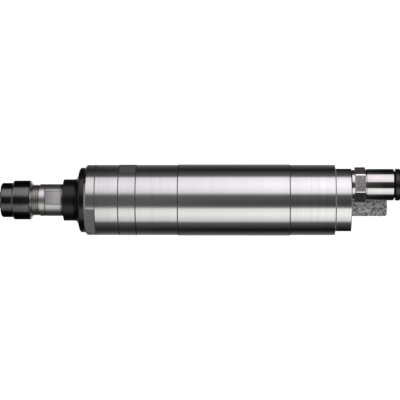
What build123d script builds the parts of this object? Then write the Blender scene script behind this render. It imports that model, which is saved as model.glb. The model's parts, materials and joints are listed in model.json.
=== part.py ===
from build123d import *
import math
import os

# Radially compliant air-driven deburring spindle for a robot. Millimetres, +Z up.
# The spindle axis is X: the tool end points to -X and the air inlet to +X.
# The origin is on the axis, halfway along the clamping zone of the main tube.

# Housing, from the tool end to the air inlet
clamp_ring_length = 6.3
front_cap_length = 13.8
centring_ring_length = 10.2
front_tube_length = 24.8
main_tube_length = 66.0
rear_tube_length = 26.8
rear_cap_length = 9.2

# Housing diameters: each part stands a little lower than the clamping zone
main_tube_diameter = 42.5
front_tube_relief = 0.25
centring_ring_relief = 0.2
front_cap_relief = 0.25
rear_tube_relief = 0.25
rear_cap_relief = 0.15
tube_wall = 2.65
joint_wall = 1.1
joint_length = 5.0
joint_end_gap = 0.3
seam_break = 0.25
joint_break = 0.3
fit_gap = 0.03
housing_seal_length = 1.0
housing_seal_depth = 0.75

# Front ring that clamps the boot
clamp_flats = 37.8
clamp_flats_angle = 41.0
clamp_chamfer_length = 1.2
clamp_chamfer_depth = 1.2
clamp_lip = 2.6

# Wrench flats of the centring ring
ring_flats = 39.6
ring_flats_angle = -70.0

# Rubber boot
boot_lip_reach = 1.4
boot_cone_length = 0.6
boot_collar_length = 6.2
boot_collar_wall = 1.3
boot_web_reach = 4.2
boot_fillet = 2.3
boot_fillet_end_angle = 10.0
boot_flange_diameter = 38.6
boot_flange_length = 2.7
boot_shoulder_length = 0.8
boot_shoulder_depth = 0.9
boot_throat_wall = 1.6
boot_bead_length = 2.2
boot_bead_height = 1.5

# Swing of the motor cartridge about its cardan ring
tilt_range = 1.0
pivot_offset = 9.0
swing_clearance = 0.3
pivot_gap = 0.35
pivot_ring_wall = 3.8
pivot_ring_length = 9.0
pivot_pin_diameter = 4.0
pin_running_gap = 0.05
fork_arm_thickness = 3.5
fork_arm_width = 14.0
boss_gap = 1.2
boss_length = 25.0
boss_overhang = 5.0

# Ball-ended air spigot
spigot_ball_diameter = 9.0
spigot_ball_gap = 0.1
spigot_neck_diameter = 5.8
spigot_bore_diameter = 3.4
spigot_thread_diameter = 8.0
spigot_thread_length = 8.0
spigot_collar_diameter = 11.0
spigot_collar_length = 1.2
spigot_seal_length = 1.6
spigot_seal_height = 0.9

# Centring pistons
piston_diameter = 7.0
piston_length = 6.0
piston_tip_gap = 0.15
piston_back_gap = 0.2
piston_fit_gap = 0.04
piston_seal_length = 0.9
piston_seal_height = 0.75
piston_seal_setback = 0.4
piston_air_hole_diameter = 1.4

# Motor cartridge
nose_sleeve_diameter = 22.0
sleeve_cone_setback = 1.3
sleeve_cone_length = 5.0
sleeve_flange_length = 1.5
sleeve_spigot_length = 4.0
cartridge_wall = 1.2
front_plate_length = 6.0
rear_plate_length = 9.0
trunnion_flange_length = 5.0
air_chamber_depth = 1.25
cartridge_nut_length = 4.0
rotor_diameter = 19.6
rotor_offset = 1.2
rotor_gap = 0.1
rotor_end_gap = 0.1
vane_count = 5
vane_thickness = 1.5
vane_height = 3.6
vane_gap = 0.05
exhaust_hole_count = 5
exhaust_hole_diameter = 3.0
exhaust_hole_pitch = 8.0
exhaust_hole_angle = 60.0
inlet_hole_diameter = 1.8
inlet_hole_count = 3
inlet_hole_step = 22.0
locating_pin_diameter = 2.0
locating_pin_inset = 2.2
locating_pin_seat = 3.5

# Ball bearings, all of one size
bearing_bore = 10.0
bearing_diameter = 19.0
bearing_width = 5.0
ball_diameter = 2.4
ball_count = 9
ball_gap = 0.04
race_land = 0.95
cage_thickness = 0.7
cage_width = 3.4
front_bearing_spacing = 3.0
bearing_seat_gap = 0.02
bearing_locknut_length = 3.0
bearing_locknut_diameter = 13.0
retainer_length = 1.8
retainer_bore = 14.6
bearing_lip_length = 0.9
bearing_lip_height = 0.9

# Spindle
nose_diameter = 19.0
nose_length = 14.3
nose_ring_length = 3.2
nose_groove_length = 0.5
nose_groove_depth = 0.3
nose_flats = 17.0
nose_flats_angle = -9.0
nose_flats_setback = 1.2
nose_break = 0.2
nose_gap = 0.8
spindle_shoulder_diameter = 14.0
thread_diameter = 18.5
thread_length = 18.7
thread_relief_length = 0.6
thread_relief_depth = 0.35
shaft_relief = 0.2
shaft_end_reach = 1.4
circlip_thickness = 0.6
circlip_height = 1.2

# Collet and its nut
shank_diameter = 6.0
collet_length = 21.6
collet_reach = 5.3
collet_nose_length = 0.5
collet_nose_diameter = 10.6
collet_seat_angle = 30.0
collet_head_length = 3.3
collet_groove_length = 0.8
collet_groove_depth = 0.8
collet_taper_angle = 8.0
collet_taper_diameter = 14.0
collet_slot_count = 4
collet_slot_width = 0.7
collet_slot_stop = 3.0
taper_gap = 0.04
collet_tail_bore = 6.8
collet_tail_depth = 12.0
nut_length = 18.8
nut_front_diameter = 20.5
nut_front_length = 5.85
nut_front_chamfer = 0.8
nut_step_length = 1.1
nut_diameter = 23.2
nut_rear_chamfer_length = 1.25
nut_rear_diameter = 19.3
nut_setback = 4.15
nut_thread_gap = 0.06
nut_relief_length = 0.6
nut_spanner_hole_diameter = 1.6
nut_spanner_hole_depth = 1.6
nut_spanner_circle = 16.4
nut_spanner_hole_count = 4

# Rear cap, with two wrench flats
cap_flats = 36.8
cap_flats_angle = 90.0
cap_thread_depth = 0.4
cap_thread_length = 6.5
cap_thread_setback = 1.6
cap_plug_gap = 2.5
cap_rear_chamfer = 0.3
port_diameter = 9.8
port_depth = 9.5
cross_hole_diameter = 4.0
exhaust_channel_diameter = 7.0

# Push-in hose fitting
fitting_y = -3.6
fitting_z = 9.05
hose_diameter = 10.2
fitting_thread_length = 9.0
fitting_thread_diameter = 9.7
fitting_bore = 6.8
fitting_seal_length = 0.7
fitting_seal_diameter = 17.4
fitting_seal_bore = 10.2
fitting_neck_diameter = 17.8
fitting_neck_length = 1.55
fitting_hex = 18.4
fitting_hex_length = 6.35
fitting_hex_angle = -5.0
fitting_hex_chamfer = 0.5
fitting_hex_edge = 1.2
fitting_groove_length = 0.4
fitting_groove_diameter = 18.0
fitting_body_diameter = 18.8
fitting_body_length = 16.4
fitting_body_break = 0.4
hose_socket_setback = 6.45
hose_socket_length = 10.0
fitting_mouth_diameter = 16.8
fitting_mouth_depth = 1.5
fitting_chamber_diameter = 13.6
hose_seal_length = 2.0
hose_seal_bore = 10.6
hose_grip_length = 1.6
hose_grip_bore = 10.7

# Release ring of the fitting
release_travel = 0.7
release_gap = 0.1
release_bore = 10.6
release_sleeve_diameter = 12.4
release_skirt_diameter = 15.2
release_cone_diameter = 16.2
release_diameter = 18.9
release_disc_length = 3.4
release_cone_length = 0.8
release_front_break = 0.3
release_round = 1.2

# Exhaust silencer
silencer_y = 10.8
silencer_z = -2.35
silencer_diameter = 14.9
silencer_length = 21.1
silencer_wall = 3.4
silencer_chamfer = 0.7
silencer_stub_thread_length = 8.0
silencer_stub_flange_length = 1.3
silencer_stub_flange_diameter = 12.4
silencer_stub_nipple_length = 5.0
silencer_stub_bore = 5.6

# Stations along the axis
main_front = -main_tube_length / 2
main_rear = main_tube_length / 2
front_tube_front = main_front - front_tube_length
ring_front = front_tube_front - centring_ring_length
cap_front = ring_front - front_cap_length
clamp_front = cap_front - clamp_ring_length
rear_tube_rear = main_rear + rear_tube_length
rear_face = rear_tube_rear + rear_cap_length
piston_x = (ring_front + front_tube_front) / 2
pivot_x = main_rear + pivot_offset

boot_flange_front = clamp_front - boot_flange_length
boot_web_front = boot_flange_front - boot_web_reach
boot_collar_front = boot_web_front - boot_collar_length
boot_front = boot_collar_front - boot_cone_length
sleeve_front = boot_front + boot_lip_reach

trunnion_rear = pivot_x - boss_length + trunnion_flange_length
trunnion_front = trunnion_rear - trunnion_flange_length
rear_plate_front = trunnion_front - rear_plate_length
sleeve_cone_front = front_tube_front + sleeve_cone_setback
sleeve_flange_front = sleeve_cone_front + sleeve_cone_length
cartridge_front = sleeve_flange_front + sleeve_flange_length
front_plate_front = cartridge_front + sleeve_spigot_length
cylinder_front = front_plate_front + front_plate_length
cartridge_rear = trunnion_rear + cartridge_nut_length
boss_rear = pivot_x + boss_overhang
plug_front = pivot_x + pivot_ring_length / 2 + cap_plug_gap

bearing_front = sleeve_front + retainer_length
second_bearing_front = bearing_front + bearing_width + front_bearing_spacing
front_bearings_rear = second_bearing_front + bearing_width
rear_bearing_front = trunnion_front - bearing_lip_length - bearing_width
rear_bearing_rear = rear_bearing_front + bearing_width
shaft_rear = rear_bearing_rear + shaft_end_reach

nose_rear = sleeve_front - nose_gap
nose_front = nose_rear - nose_length
nose_groove_front = nose_front + nose_ring_length
nose_groove_rear = nose_groove_front + nose_groove_length
spindle_front = nose_front - thread_length
nut_rear = nose_front - nut_setback
nut_front = nut_rear - nut_length
collet_front = spindle_front - collet_reach
collet_rear = collet_front + collet_length

fitting_neck_front = rear_face + fitting_seal_length
hex_front = fitting_neck_front + fitting_neck_length
hex_rear = hex_front + fitting_hex_length
fitting_body_front = hex_rear + fitting_groove_length
fitting_rear = fitting_body_front + fitting_body_length
socket_front = hex_front + hose_socket_setback
socket_rear = socket_front + hose_socket_length
silencer_front = rear_face + silencer_stub_flange_length
silencer_rear = silencer_front + silencer_length

# Radii
main_radius = main_tube_diameter / 2
front_tube_radius = main_radius - front_tube_relief
centring_ring_radius = main_radius - centring_ring_relief
front_cap_radius = main_radius - front_cap_relief
rear_tube_radius = main_radius - rear_tube_relief
rear_cap_radius = main_radius - rear_cap_relief
bore_radius = main_radius - tube_wall
joint_radius = bore_radius + joint_wall
spigot_radius = joint_radius - fit_gap
cap_radius = bore_radius - fit_gap
cap_thread_radius = cap_radius + cap_thread_depth
sleeve_radius = nose_sleeve_diameter / 2
ball_path_radius = (bearing_bore + bearing_diameter) / 4


def swing(x):
    """How far a point on the axis moves when the cartridge tilts both ways at once."""
    return abs(pivot_x - x) * math.tan(math.radians(tilt_range * math.sqrt(2)))


piston_stroke = (pivot_x - piston_x) * math.tan(math.radians(tilt_range))
piston_inner = sleeve_radius + piston_tip_gap
piston_outer = piston_inner + piston_length
cap_bore_radius = sleeve_radius + swing(cap_front) + swing_clearance
ring_bore_radius = sleeve_radius + swing(ring_front - joint_length) + swing_clearance
throat_radius = sleeve_radius + swing(boot_flange_front) + swing_clearance
clamp_lip_radius = throat_radius + boot_throat_wall + fit_gap
bead_radius = throat_radius + boot_throat_wall + boot_bead_height
cartridge_radius = bore_radius - swing(cartridge_front) - swing_clearance
cartridge_bore_radius = cartridge_radius - cartridge_wall
stack_radius = cartridge_bore_radius - fit_gap
rotor_radius = rotor_diameter / 2
cylinder_bore_radius = rotor_radius + rotor_offset + rotor_gap
shaft_radius = bearing_bore / 2 - bearing_seat_gap
bearing_seat_radius = bearing_diameter / 2 + bearing_seat_gap
arm_inner_radius = cap_radius - fork_arm_thickness
pivot_ring_radius = arm_inner_radius - pivot_gap
pivot_ring_bore_radius = pivot_ring_radius - pivot_ring_wall
boss_radius = pivot_ring_bore_radius - boss_gap
ball_radius = spigot_ball_diameter / 2
ball_seat_radius = ball_radius + spigot_ball_gap
pin_radius = pivot_pin_diameter / 2
boot_collar_radius = sleeve_radius + fit_gap + boot_collar_wall


def turned(*outline):
    """A solid turned about X from an outline of (x, radius) corners."""
    profile = Plane.XZ * Polyline(*outline, close=True)
    return revolve(make_face(profile), Axis.X)


def ring(start, end, inner, outer):
    """A plain ring or disc about X."""
    return turned((start, inner), (end, inner), (end, outer), (start, outer))


def rod(start, end, radius):
    """A plain cylinder between two points."""
    run = Vector(*end) - Vector(*start)
    return extrude(Plane(origin=start, z_dir=run) * Circle(radius), run.length)


def radial_rod(x, inner, outer, radius, angle):
    """A cylinder that points away from the axis, its angle counted from +Y towards +Z."""
    y = math.cos(math.radians(angle))
    z = math.sin(math.radians(angle))
    return rod((x, inner * y, inner * z), (x, outer * y, outer * z), radius)


def flats_cutter(start, end, across, angle):
    """Two blocks that cut opposite flats, turned from the near side by an angle about X."""
    size = across
    centre = across / 2 + size / 2
    middle = (start + end) / 2
    near = Rot(X=angle) * Pos(middle, -centre, 0) * Box(end - start, size, size * 2)
    far = Rot(X=angle) * Pos(middle, centre, 0) * Box(end - start, size, size * 2)
    return near + far


def group(solids):
    """Separate solids of one node."""
    return Compound(children=list(solids))


# Housing


def clamp_ring():
    """Front ring with two wrench flats: its lip holds the boot, its thread enters the front cap."""
    lip_end = clamp_front + clamp_lip
    thread_end = cap_front + joint_length
    blank = turned(
        (clamp_front, clamp_lip_radius),
        (lip_end, clamp_lip_radius),
        (lip_end, bore_radius),
        (thread_end, bore_radius),
        (thread_end, spigot_radius),
        (cap_front, spigot_radius),
        (cap_front, front_cap_radius - joint_break),
        (cap_front - joint_break, front_cap_radius),
        (clamp_front + clamp_chamfer_length, front_cap_radius),
        (clamp_front, front_cap_radius - clamp_chamfer_depth),
    )
    return blank - flats_cutter(clamp_front, cap_front, clamp_flats, clamp_flats_angle)


def front_cap():
    """Ring between two sockets, with an inner web that stops the swing of the nose sleeve."""
    web_front = cap_front + joint_length + joint_end_gap
    web_rear = ring_front - joint_length - joint_end_gap
    return turned(
        (cap_front, joint_radius),
        (web_front, joint_radius),
        (web_front, cap_bore_radius),
        (web_rear, cap_bore_radius),
        (web_rear, joint_radius),
        (ring_front, joint_radius),
        (ring_front, front_cap_radius - joint_break),
        (ring_front - joint_break, front_cap_radius),
        (cap_front + joint_break, front_cap_radius),
        (cap_front, front_cap_radius - joint_break),
    )


def seal_groove(start, end):
    """Cutter for the groove of a housing seal in a spigot."""
    middle = (start + end) / 2
    half = housing_seal_length / 2
    floor = joint_radius - housing_seal_depth - fit_gap
    return ring(middle - half, middle + half, floor, joint_radius + seam_break)


def housing_seal(start, end):
    middle = (start + end) / 2
    half = housing_seal_length / 2 - fit_gap
    inner = joint_radius - housing_seal_depth
    return ring(middle - half, middle + half, inner, joint_radius - fit_gap)


def housing_seals():
    """Sealing rings of the four tube joints."""
    spigots = [ring_front - joint_length, front_tube_front, main_front, main_rear]
    return group(housing_seal(start, start + joint_length) for start in spigots)


def centring_ring():
    """Ring with two wrench flats, four radial cylinders for the pistons and two spigots."""
    body = turned(
        (ring_front - joint_length, ring_bore_radius),
        (front_tube_front, ring_bore_radius),
        (front_tube_front, bore_radius),
        (front_tube_front + joint_length, bore_radius),
        (front_tube_front + joint_length, spigot_radius),
        (front_tube_front, spigot_radius),
        (front_tube_front, centring_ring_radius - joint_break),
        (front_tube_front - joint_break, centring_ring_radius),
        (ring_front + joint_break, centring_ring_radius),
        (ring_front, centring_ring_radius - joint_break),
        (ring_front, spigot_radius),
        (ring_front - joint_length, spigot_radius),
    )
    body -= seal_groove(ring_front - joint_length, ring_front)
    body -= seal_groove(front_tube_front, front_tube_front + joint_length)
    cylinder_end = piston_outer + piston_stroke + piston_back_gap
    air_hole_radius = piston_air_hole_diameter / 2
    air_hole_height = piston_outer - air_hole_radius
    for quarter in range(4):
        angle = quarter * 90
        body -= radial_rod(piston_x, 0, cylinder_end, piston_diameter / 2 + piston_fit_gap, angle)
        y = air_hole_height * math.cos(math.radians(angle))
        z = air_hole_height * math.sin(math.radians(angle))
        body -= rod((piston_x, y, z), (front_tube_front + joint_length, y, z), air_hole_radius)
    return body - flats_cutter(ring_front, front_tube_front, ring_flats, ring_flats_angle)


def housing_tube(front, rear, radius):
    """A housing tube with a socket in its front end and a spigot behind its rear end."""
    socket_end = front + joint_length + joint_end_gap
    spigot_end = rear + joint_length
    tube = turned(
        (front, joint_radius),
        (socket_end, joint_radius),
        (socket_end, bore_radius),
        (spigot_end, bore_radius),
        (spigot_end, spigot_radius),
        (rear, spigot_radius),
        (rear, radius - joint_break),
        (rear - joint_break, radius),
        (front + joint_break, radius),
        (front, radius - joint_break),
    )
    return tube - seal_groove(rear, spigot_end)


def front_tube():
    return housing_tube(front_tube_front, main_front, front_tube_radius)


def main_tube():
    """Clamping zone: the largest diameter, ground true."""
    return housing_tube(main_front, main_rear, main_radius)


def rear_tube():
    """Rear tube: a socket in front, and a threaded mouth for the rear cap."""
    socket_end = main_rear + joint_length + joint_end_gap
    mouth_front = rear_tube_rear - cap_thread_setback - cap_thread_length - joint_end_gap
    return turned(
        (main_rear, joint_radius),
        (socket_end, joint_radius),
        (socket_end, bore_radius),
        (mouth_front, bore_radius),
        (mouth_front, cap_thread_radius + fit_gap),
        (rear_tube_rear, cap_thread_radius + fit_gap),
        (rear_tube_rear, rear_tube_radius - joint_break),
        (rear_tube_rear - joint_break, rear_tube_radius),
        (main_rear + joint_break, rear_tube_radius),
        (main_rear, rear_tube_radius - joint_break),
    )


def cap_blank():
    """Plug with its thread, and a head as wide as the housing with two wrench flats."""
    thread_rear = rear_tube_rear - cap_thread_setback
    thread_front = thread_rear - cap_thread_length
    blank = turned(
        (plug_front, 0),
        (rear_face, 0),
        (rear_face, rear_cap_radius - cap_rear_chamfer),
        (rear_face - cap_rear_chamfer, rear_cap_radius),
        (rear_tube_rear + joint_break, rear_cap_radius),
        (rear_tube_rear, rear_cap_radius - joint_break),
        (rear_tube_rear, cap_radius),
        (thread_rear, cap_radius),
        (thread_rear, cap_thread_radius),
        (thread_front, cap_thread_radius),
        (thread_front, cap_radius),
        (plug_front, cap_radius),
    )
    return blank - flats_cutter(rear_tube_rear, rear_face, cap_flats, cap_flats_angle)


def fork():
    """Two arms at the sides that carry the outer pivot pins."""
    arm_front = pivot_x - pivot_ring_length / 2
    arms = ring(arm_front, plug_front, arm_inner_radius, cap_radius)
    slab = Pos((arm_front + plug_front) / 2, 0, 0) * Box(
        plug_front - arm_front, cap_radius * 2, fork_arm_width
    )
    arms &= slab
    for angle in (0, 180):
        arms -= radial_rod(pivot_x, boss_radius, main_radius, pin_radius + fit_gap, angle)
    return arms


def rear_cap():
    """Rear cap with the pivot fork in front and the air ports behind."""
    body = cap_blank() + fork()
    port_radius = port_diameter / 2
    port_end = rear_face - port_depth
    spigot_end = plug_front + spigot_thread_length + joint_end_gap
    cross_x = (port_end + spigot_end) / 2
    cross_radius = cross_hole_diameter / 2
    channel_radius = exhaust_channel_diameter / 2
    body -= rod((plug_front, 0, 0), (spigot_end, 0, 0), spigot_thread_diameter / 2 + fit_gap)
    body -= rod((spigot_end, 0, 0), (cross_x, 0, 0), cross_radius)
    body -= rod((port_end, fitting_y, fitting_z), (rear_face, fitting_y, fitting_z), port_radius)
    body -= rod((cross_x, fitting_y, fitting_z), (port_end, fitting_y, fitting_z), cross_radius)
    body -= rod((cross_x, 0, 0), (cross_x, fitting_y, fitting_z), cross_radius)
    body -= rod((port_end, silencer_y, silencer_z), (rear_face, silencer_y, silencer_z), port_radius)
    body -= rod((plug_front, silencer_y, silencer_z), (port_end, silencer_y, silencer_z), channel_radius)
    return body


# Boot, one rubber moulding that is split where it bends


def boot_collar():
    """Collar that grips the nose sleeve, with a thin lip over its front end."""
    lip_radius = nose_diameter / 2 + swing_clearance
    lip_end = sleeve_front - fit_gap
    grip_radius = sleeve_radius + fit_gap
    return turned(
        (boot_front, lip_radius),
        (lip_end, lip_radius),
        (lip_end, grip_radius),
        (boot_web_front, grip_radius),
        (boot_web_front, boot_collar_radius),
        (boot_collar_front, boot_collar_radius),
        (boot_front, lip_radius + seam_break),
    )


def boot_web():
    """Flexible wall that flares from the collar to the flange."""
    centre_radius = boot_collar_radius + boot_fillet
    end_angle = math.radians(boot_fillet_end_angle)
    mid_angle = (math.pi / 2 + end_angle) / 2

    def on_arc(size, angle):
        return (boot_web_front + size * math.cos(angle), centre_radius - size * math.sin(angle))

    inner = boot_fillet + boot_collar_wall
    shoulder = (boot_flange_front - boot_shoulder_length, boot_flange_diameter / 2 - boot_shoulder_depth)
    outer_arc = ThreePointArc(
        on_arc(boot_fillet, math.pi / 2), on_arc(boot_fillet, mid_angle), on_arc(boot_fillet, end_angle)
    )
    wall = Polyline(
        on_arc(boot_fillet, end_angle),
        shoulder,
        (boot_flange_front, boot_flange_diameter / 2),
        (boot_flange_front, throat_radius),
        on_arc(inner, end_angle),
    )
    inner_arc = ThreePointArc(
        on_arc(inner, end_angle), on_arc(inner, mid_angle), on_arc(inner, math.pi / 2)
    )
    end = Line(on_arc(inner, math.pi / 2), on_arc(boot_fillet, math.pi / 2))
    profile = Plane.XZ * make_face(outer_arc + wall + inner_arc + end)
    return revolve(profile, Axis.X)


def boot_flange():
    """Rim in front of the clamp ring, throat through it and bead behind its lip."""
    bead_front = clamp_front + clamp_lip + fit_gap
    bead_rear = bead_front + boot_bead_length
    throat_outer = throat_radius + boot_throat_wall
    return turned(
        (boot_flange_front, throat_radius),
        (bead_rear, throat_radius),
        (bead_rear, bead_radius),
        (bead_front, bead_radius),
        (bead_front, throat_outer),
        (clamp_front, throat_outer),
        (clamp_front, boot_flange_diameter / 2),
        (boot_flange_front, boot_flange_diameter / 2),
    )


def boot_retainer():
    """Sleeve between the boot's bead and the web of the front cap."""
    start = clamp_front + clamp_lip + fit_gap + boot_bead_length
    end = cap_front + joint_length + joint_end_gap
    return ring(start, end, cap_bore_radius, bead_radius)


# Cardan ring and air spigot


def pivot_ring():
    half = pivot_ring_length / 2
    body = turned(
        (pivot_x - half, pivot_ring_bore_radius),
        (pivot_x + half, pivot_ring_bore_radius),
        (pivot_x + half, pivot_ring_radius - seam_break),
        (pivot_x + half - seam_break, pivot_ring_radius),
        (pivot_x - half + seam_break, pivot_ring_radius),
        (pivot_x - half, pivot_ring_radius - seam_break),
    )
    for quarter in range(4):
        hole = pin_radius + pin_running_gap
        body -= radial_rod(pivot_x, boss_radius, main_radius, hole, quarter * 90)
    return body


def outer_pivot_pins():
    """Pins that join the fork and the cardan ring, for the vertical tilt."""
    inner = pivot_ring_bore_radius + swing_clearance
    outer = cap_radius - swing_clearance
    return group(radial_rod(pivot_x, inner, outer, pin_radius, angle) for angle in (0, 180))


def inner_pivot_pins():
    """Pins that join the cardan ring and the cartridge, for the sideways tilt."""
    inner = ball_seat_radius + spigot_seal_height + seam_break
    outer = pivot_ring_radius - swing_clearance
    return group(radial_rod(pivot_x, inner, outer, pin_radius, angle) for angle in (90, 270))


def air_spigot():
    """Hollow spigot screwed into the rear cap, its ball at the centre of the swing."""
    collar_front = plug_front - spigot_collar_length
    thread_end = plug_front + spigot_thread_length
    neck = ring(pivot_x, collar_front, 0, spigot_neck_diameter / 2)
    collar = ring(collar_front, plug_front, 0, spigot_collar_diameter / 2)
    thread = ring(plug_front, thread_end, 0, spigot_thread_diameter / 2)
    body = Pos(pivot_x, 0, 0) * Sphere(ball_radius) + neck + collar + thread
    return body - rod((pivot_x - ball_radius, 0, 0), (thread_end, 0, 0), spigot_bore_diameter / 2)


def spigot_seal():
    half = spigot_seal_length / 2 - fit_gap
    outer = ball_seat_radius + spigot_seal_height - fit_gap
    return ring(pivot_x - half, pivot_x + half, ball_radius + fit_gap, outer)


# Motor cartridge


def trunnion_cap():
    """Rear end of the cartridge: air chamber, bearing lip, boss, ball seat and pin holes."""
    chamber_radius = bearing_seat_radius + inlet_hole_diameter + seam_break * 2
    lip_inner = bearing_seat_radius - bearing_lip_height
    chamber_end = trunnion_front + air_chamber_depth
    seat_front = pivot_x - boss_overhang
    passage_radius = spigot_neck_diameter / 2
    seal_half = spigot_seal_length / 2
    seal_outer = ball_seat_radius + spigot_seal_height
    body = turned(
        (rear_bearing_rear, lip_inner),
        (chamber_end, lip_inner),
        (chamber_end, passage_radius),
        (seat_front, passage_radius),
        (seat_front, ball_seat_radius),
        (pivot_x - seal_half, ball_seat_radius),
        (pivot_x - seal_half, seal_outer),
        (pivot_x + seal_half, seal_outer),
        (pivot_x + seal_half, ball_seat_radius),
        (boss_rear, ball_seat_radius),
        (boss_rear, boss_radius - seam_break),
        (boss_rear - seam_break, boss_radius),
        (trunnion_rear, boss_radius),
        (trunnion_rear, stack_radius),
        (trunnion_front, stack_radius),
        (trunnion_front, chamber_radius),
        (chamber_end, chamber_radius),
        (chamber_end, bearing_seat_radius - fit_gap * 2),
        (rear_bearing_rear, bearing_seat_radius - fit_gap * 2),
    )
    for angle in (90, 270):
        body -= radial_rod(pivot_x, seal_outer, main_radius, pin_radius + fit_gap, angle)
    return body


def cartridge_nut():
    """Threaded ring that presses the cartridge stack together."""
    return ring(trunnion_rear, cartridge_rear, boss_radius + swing_clearance, stack_radius)


def exhaust_holes(inner, outer, diameter):
    """Row of radial holes through the cylinder or the sleeve."""
    middle = (cylinder_front + rear_plate_front) / 2
    for index in range(exhaust_hole_count):
        x = middle + (index - (exhaust_hole_count - 1) / 2) * exhaust_hole_pitch
        yield radial_rod(x, inner, outer, diameter / 2, exhaust_hole_angle)


def cartridge_sleeve():
    """Thin sleeve round the end plates and the cylinder."""
    body = ring(cartridge_front, cartridge_rear, cartridge_bore_radius, cartridge_radius)
    for hole in exhaust_holes(rotor_radius, main_radius, exhaust_hole_diameter + 1):
        body -= hole
    return body


def pin_hole(start, end):
    height = -(stack_radius - locating_pin_inset)
    return rod((start, 0, height), (end, 0, height), locating_pin_diameter / 2 + fit_gap)


def locating_pin():
    """Pin that keeps both end plates in line with the cylinder."""
    height = -(stack_radius - locating_pin_inset)
    start = cylinder_front - locating_pin_seat
    end = rear_plate_front + locating_pin_seat
    return rod((start, 0, height), (end, 0, height), locating_pin_diameter / 2)


def front_end_plate():
    body = ring(front_plate_front, cylinder_front, bearing_bore / 2 + swing_clearance, stack_radius)
    return body - pin_hole(cylinder_front - locating_pin_seat - fit_gap, cylinder_front)


def motor_cylinder():
    """Cylinder whose bore lies off the spindle axis, so that the vanes close chambers."""
    body = ring(cylinder_front, rear_plate_front, 0, stack_radius)
    start = (cylinder_front, 0, rotor_offset)
    end = (rear_plate_front, 0, rotor_offset)
    body -= rod(start, end, cylinder_bore_radius)
    for hole in exhaust_holes(rotor_radius, main_radius, exhaust_hole_diameter):
        body -= hole
    return body - pin_hole(cylinder_front, rear_plate_front)


def rear_end_plate():
    """Plate with the rear bearing's seat and the inlet holes."""
    body = turned(
        (rear_plate_front, bearing_bore / 2 + swing_clearance),
        (rear_bearing_front, bearing_bore / 2 + swing_clearance),
        (rear_bearing_front, bearing_seat_radius),
        (trunnion_front, bearing_seat_radius),
        (trunnion_front, stack_radius),
        (rear_plate_front, stack_radius),
    )
    hole_radius = inlet_hole_diameter / 2
    height = bearing_seat_radius + hole_radius + seam_break
    for index in range(inlet_hole_count):
        angle = math.radians(180 - exhaust_hole_angle + (index - 1) * inlet_hole_step)
        y = height * math.cos(angle)
        z = height * math.sin(angle)
        body -= rod((rear_plate_front, y, z), (trunnion_front, y, z), hole_radius)
    return body - pin_hole(rear_plate_front, rear_plate_front + locating_pin_seat + fit_gap)


def nose_sleeve():
    """Sleeve that carries the front bearings and flares to the cartridge."""
    shaft_room = bearing_bore / 2 + swing_clearance * 2
    land = bearing_seat_radius - race_land - seam_break
    neck_front = sleeve_cone_front - sleeve_cone_length
    return turned(
        (sleeve_front, bearing_seat_radius),
        (front_bearings_rear, bearing_seat_radius),
        (front_bearings_rear, land),
        (neck_front, land),
        (neck_front, shaft_room),
        (front_plate_front, shaft_room),
        (front_plate_front, stack_radius),
        (cartridge_front, stack_radius),
        (cartridge_front, cartridge_radius),
        (sleeve_flange_front, cartridge_radius),
        (sleeve_cone_front, sleeve_radius),
        (sleeve_front, sleeve_radius),
    )


def bearing_retainer():
    """Threaded ring in front of the bearings."""
    return ring(sleeve_front, bearing_front, retainer_bore / 2, bearing_diameter / 2)


# Ball bearings


def ball_track(start):
    middle = start + bearing_width / 2
    return Pos(middle, 0, 0) * Rot(Y=90) * Torus(ball_path_radius, ball_diameter / 2 + ball_gap)


def outer_race(start):
    outer = bearing_diameter / 2
    body = ring(start, start + bearing_width, outer - race_land, outer)
    return body - ball_track(start)


def inner_race(start):
    inner = bearing_bore / 2
    body = ring(start, start + bearing_width, inner, inner + race_land)
    return body - ball_track(start)


def balls(start):
    middle = start + bearing_width / 2
    for index in range(ball_count):
        angle = math.tau * index / ball_count
        y = ball_path_radius * math.cos(angle)
        z = ball_path_radius * math.sin(angle)
        yield Pos(middle, y, z) * Sphere(ball_diameter / 2)


def cage(start):
    """Ring with a round pocket for each ball."""
    middle = start + bearing_width / 2
    inner = ball_path_radius - cage_thickness / 2
    outer = ball_path_radius + cage_thickness / 2
    body = ring(middle - cage_width / 2, middle + cage_width / 2, inner, outer)
    for index in range(ball_count):
        angle = 360 * index / ball_count
        body -= radial_rod(middle, 0, bearing_diameter / 2, ball_diameter / 2 + ball_gap, angle)
    return body


def front_bearing_outer_races():
    return group([outer_race(bearing_front), outer_race(second_bearing_front)])


def front_bearing_inner_races():
    return group([inner_race(bearing_front), inner_race(second_bearing_front)])


def front_bearing_balls():
    return group([*balls(bearing_front), *balls(second_bearing_front)])


def front_bearing_cages():
    return group([cage(bearing_front), cage(second_bearing_front)])


def rear_bearing_outer_race():
    return outer_race(rear_bearing_front)


def rear_bearing_inner_race():
    return inner_race(rear_bearing_front)


def rear_bearing_balls():
    return group(balls(rear_bearing_front))


def rear_bearing_cage():
    return cage(rear_bearing_front)


def outer_bearing_spacer():
    outer = bearing_diameter / 2
    return ring(bearing_front + bearing_width, second_bearing_front, outer - race_land, outer)


def inner_bearing_spacer():
    inner = bearing_bore / 2
    return ring(bearing_front + bearing_width, second_bearing_front, inner, inner + race_land)


def bearing_locknut():
    """Round nut on the spindle behind the front bearings."""
    end = front_bearings_rear + bearing_locknut_length
    return ring(front_bearings_rear, end, bearing_bore / 2, bearing_locknut_diameter / 2)


def shaft_circlip():
    """Ring in a groove of the shaft behind the rear bearing."""
    inner = shaft_radius - shaft_relief
    end = rear_bearing_rear + circlip_thickness
    return ring(rear_bearing_rear, end, inner, inner + circlip_height)


# Spindle


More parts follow.
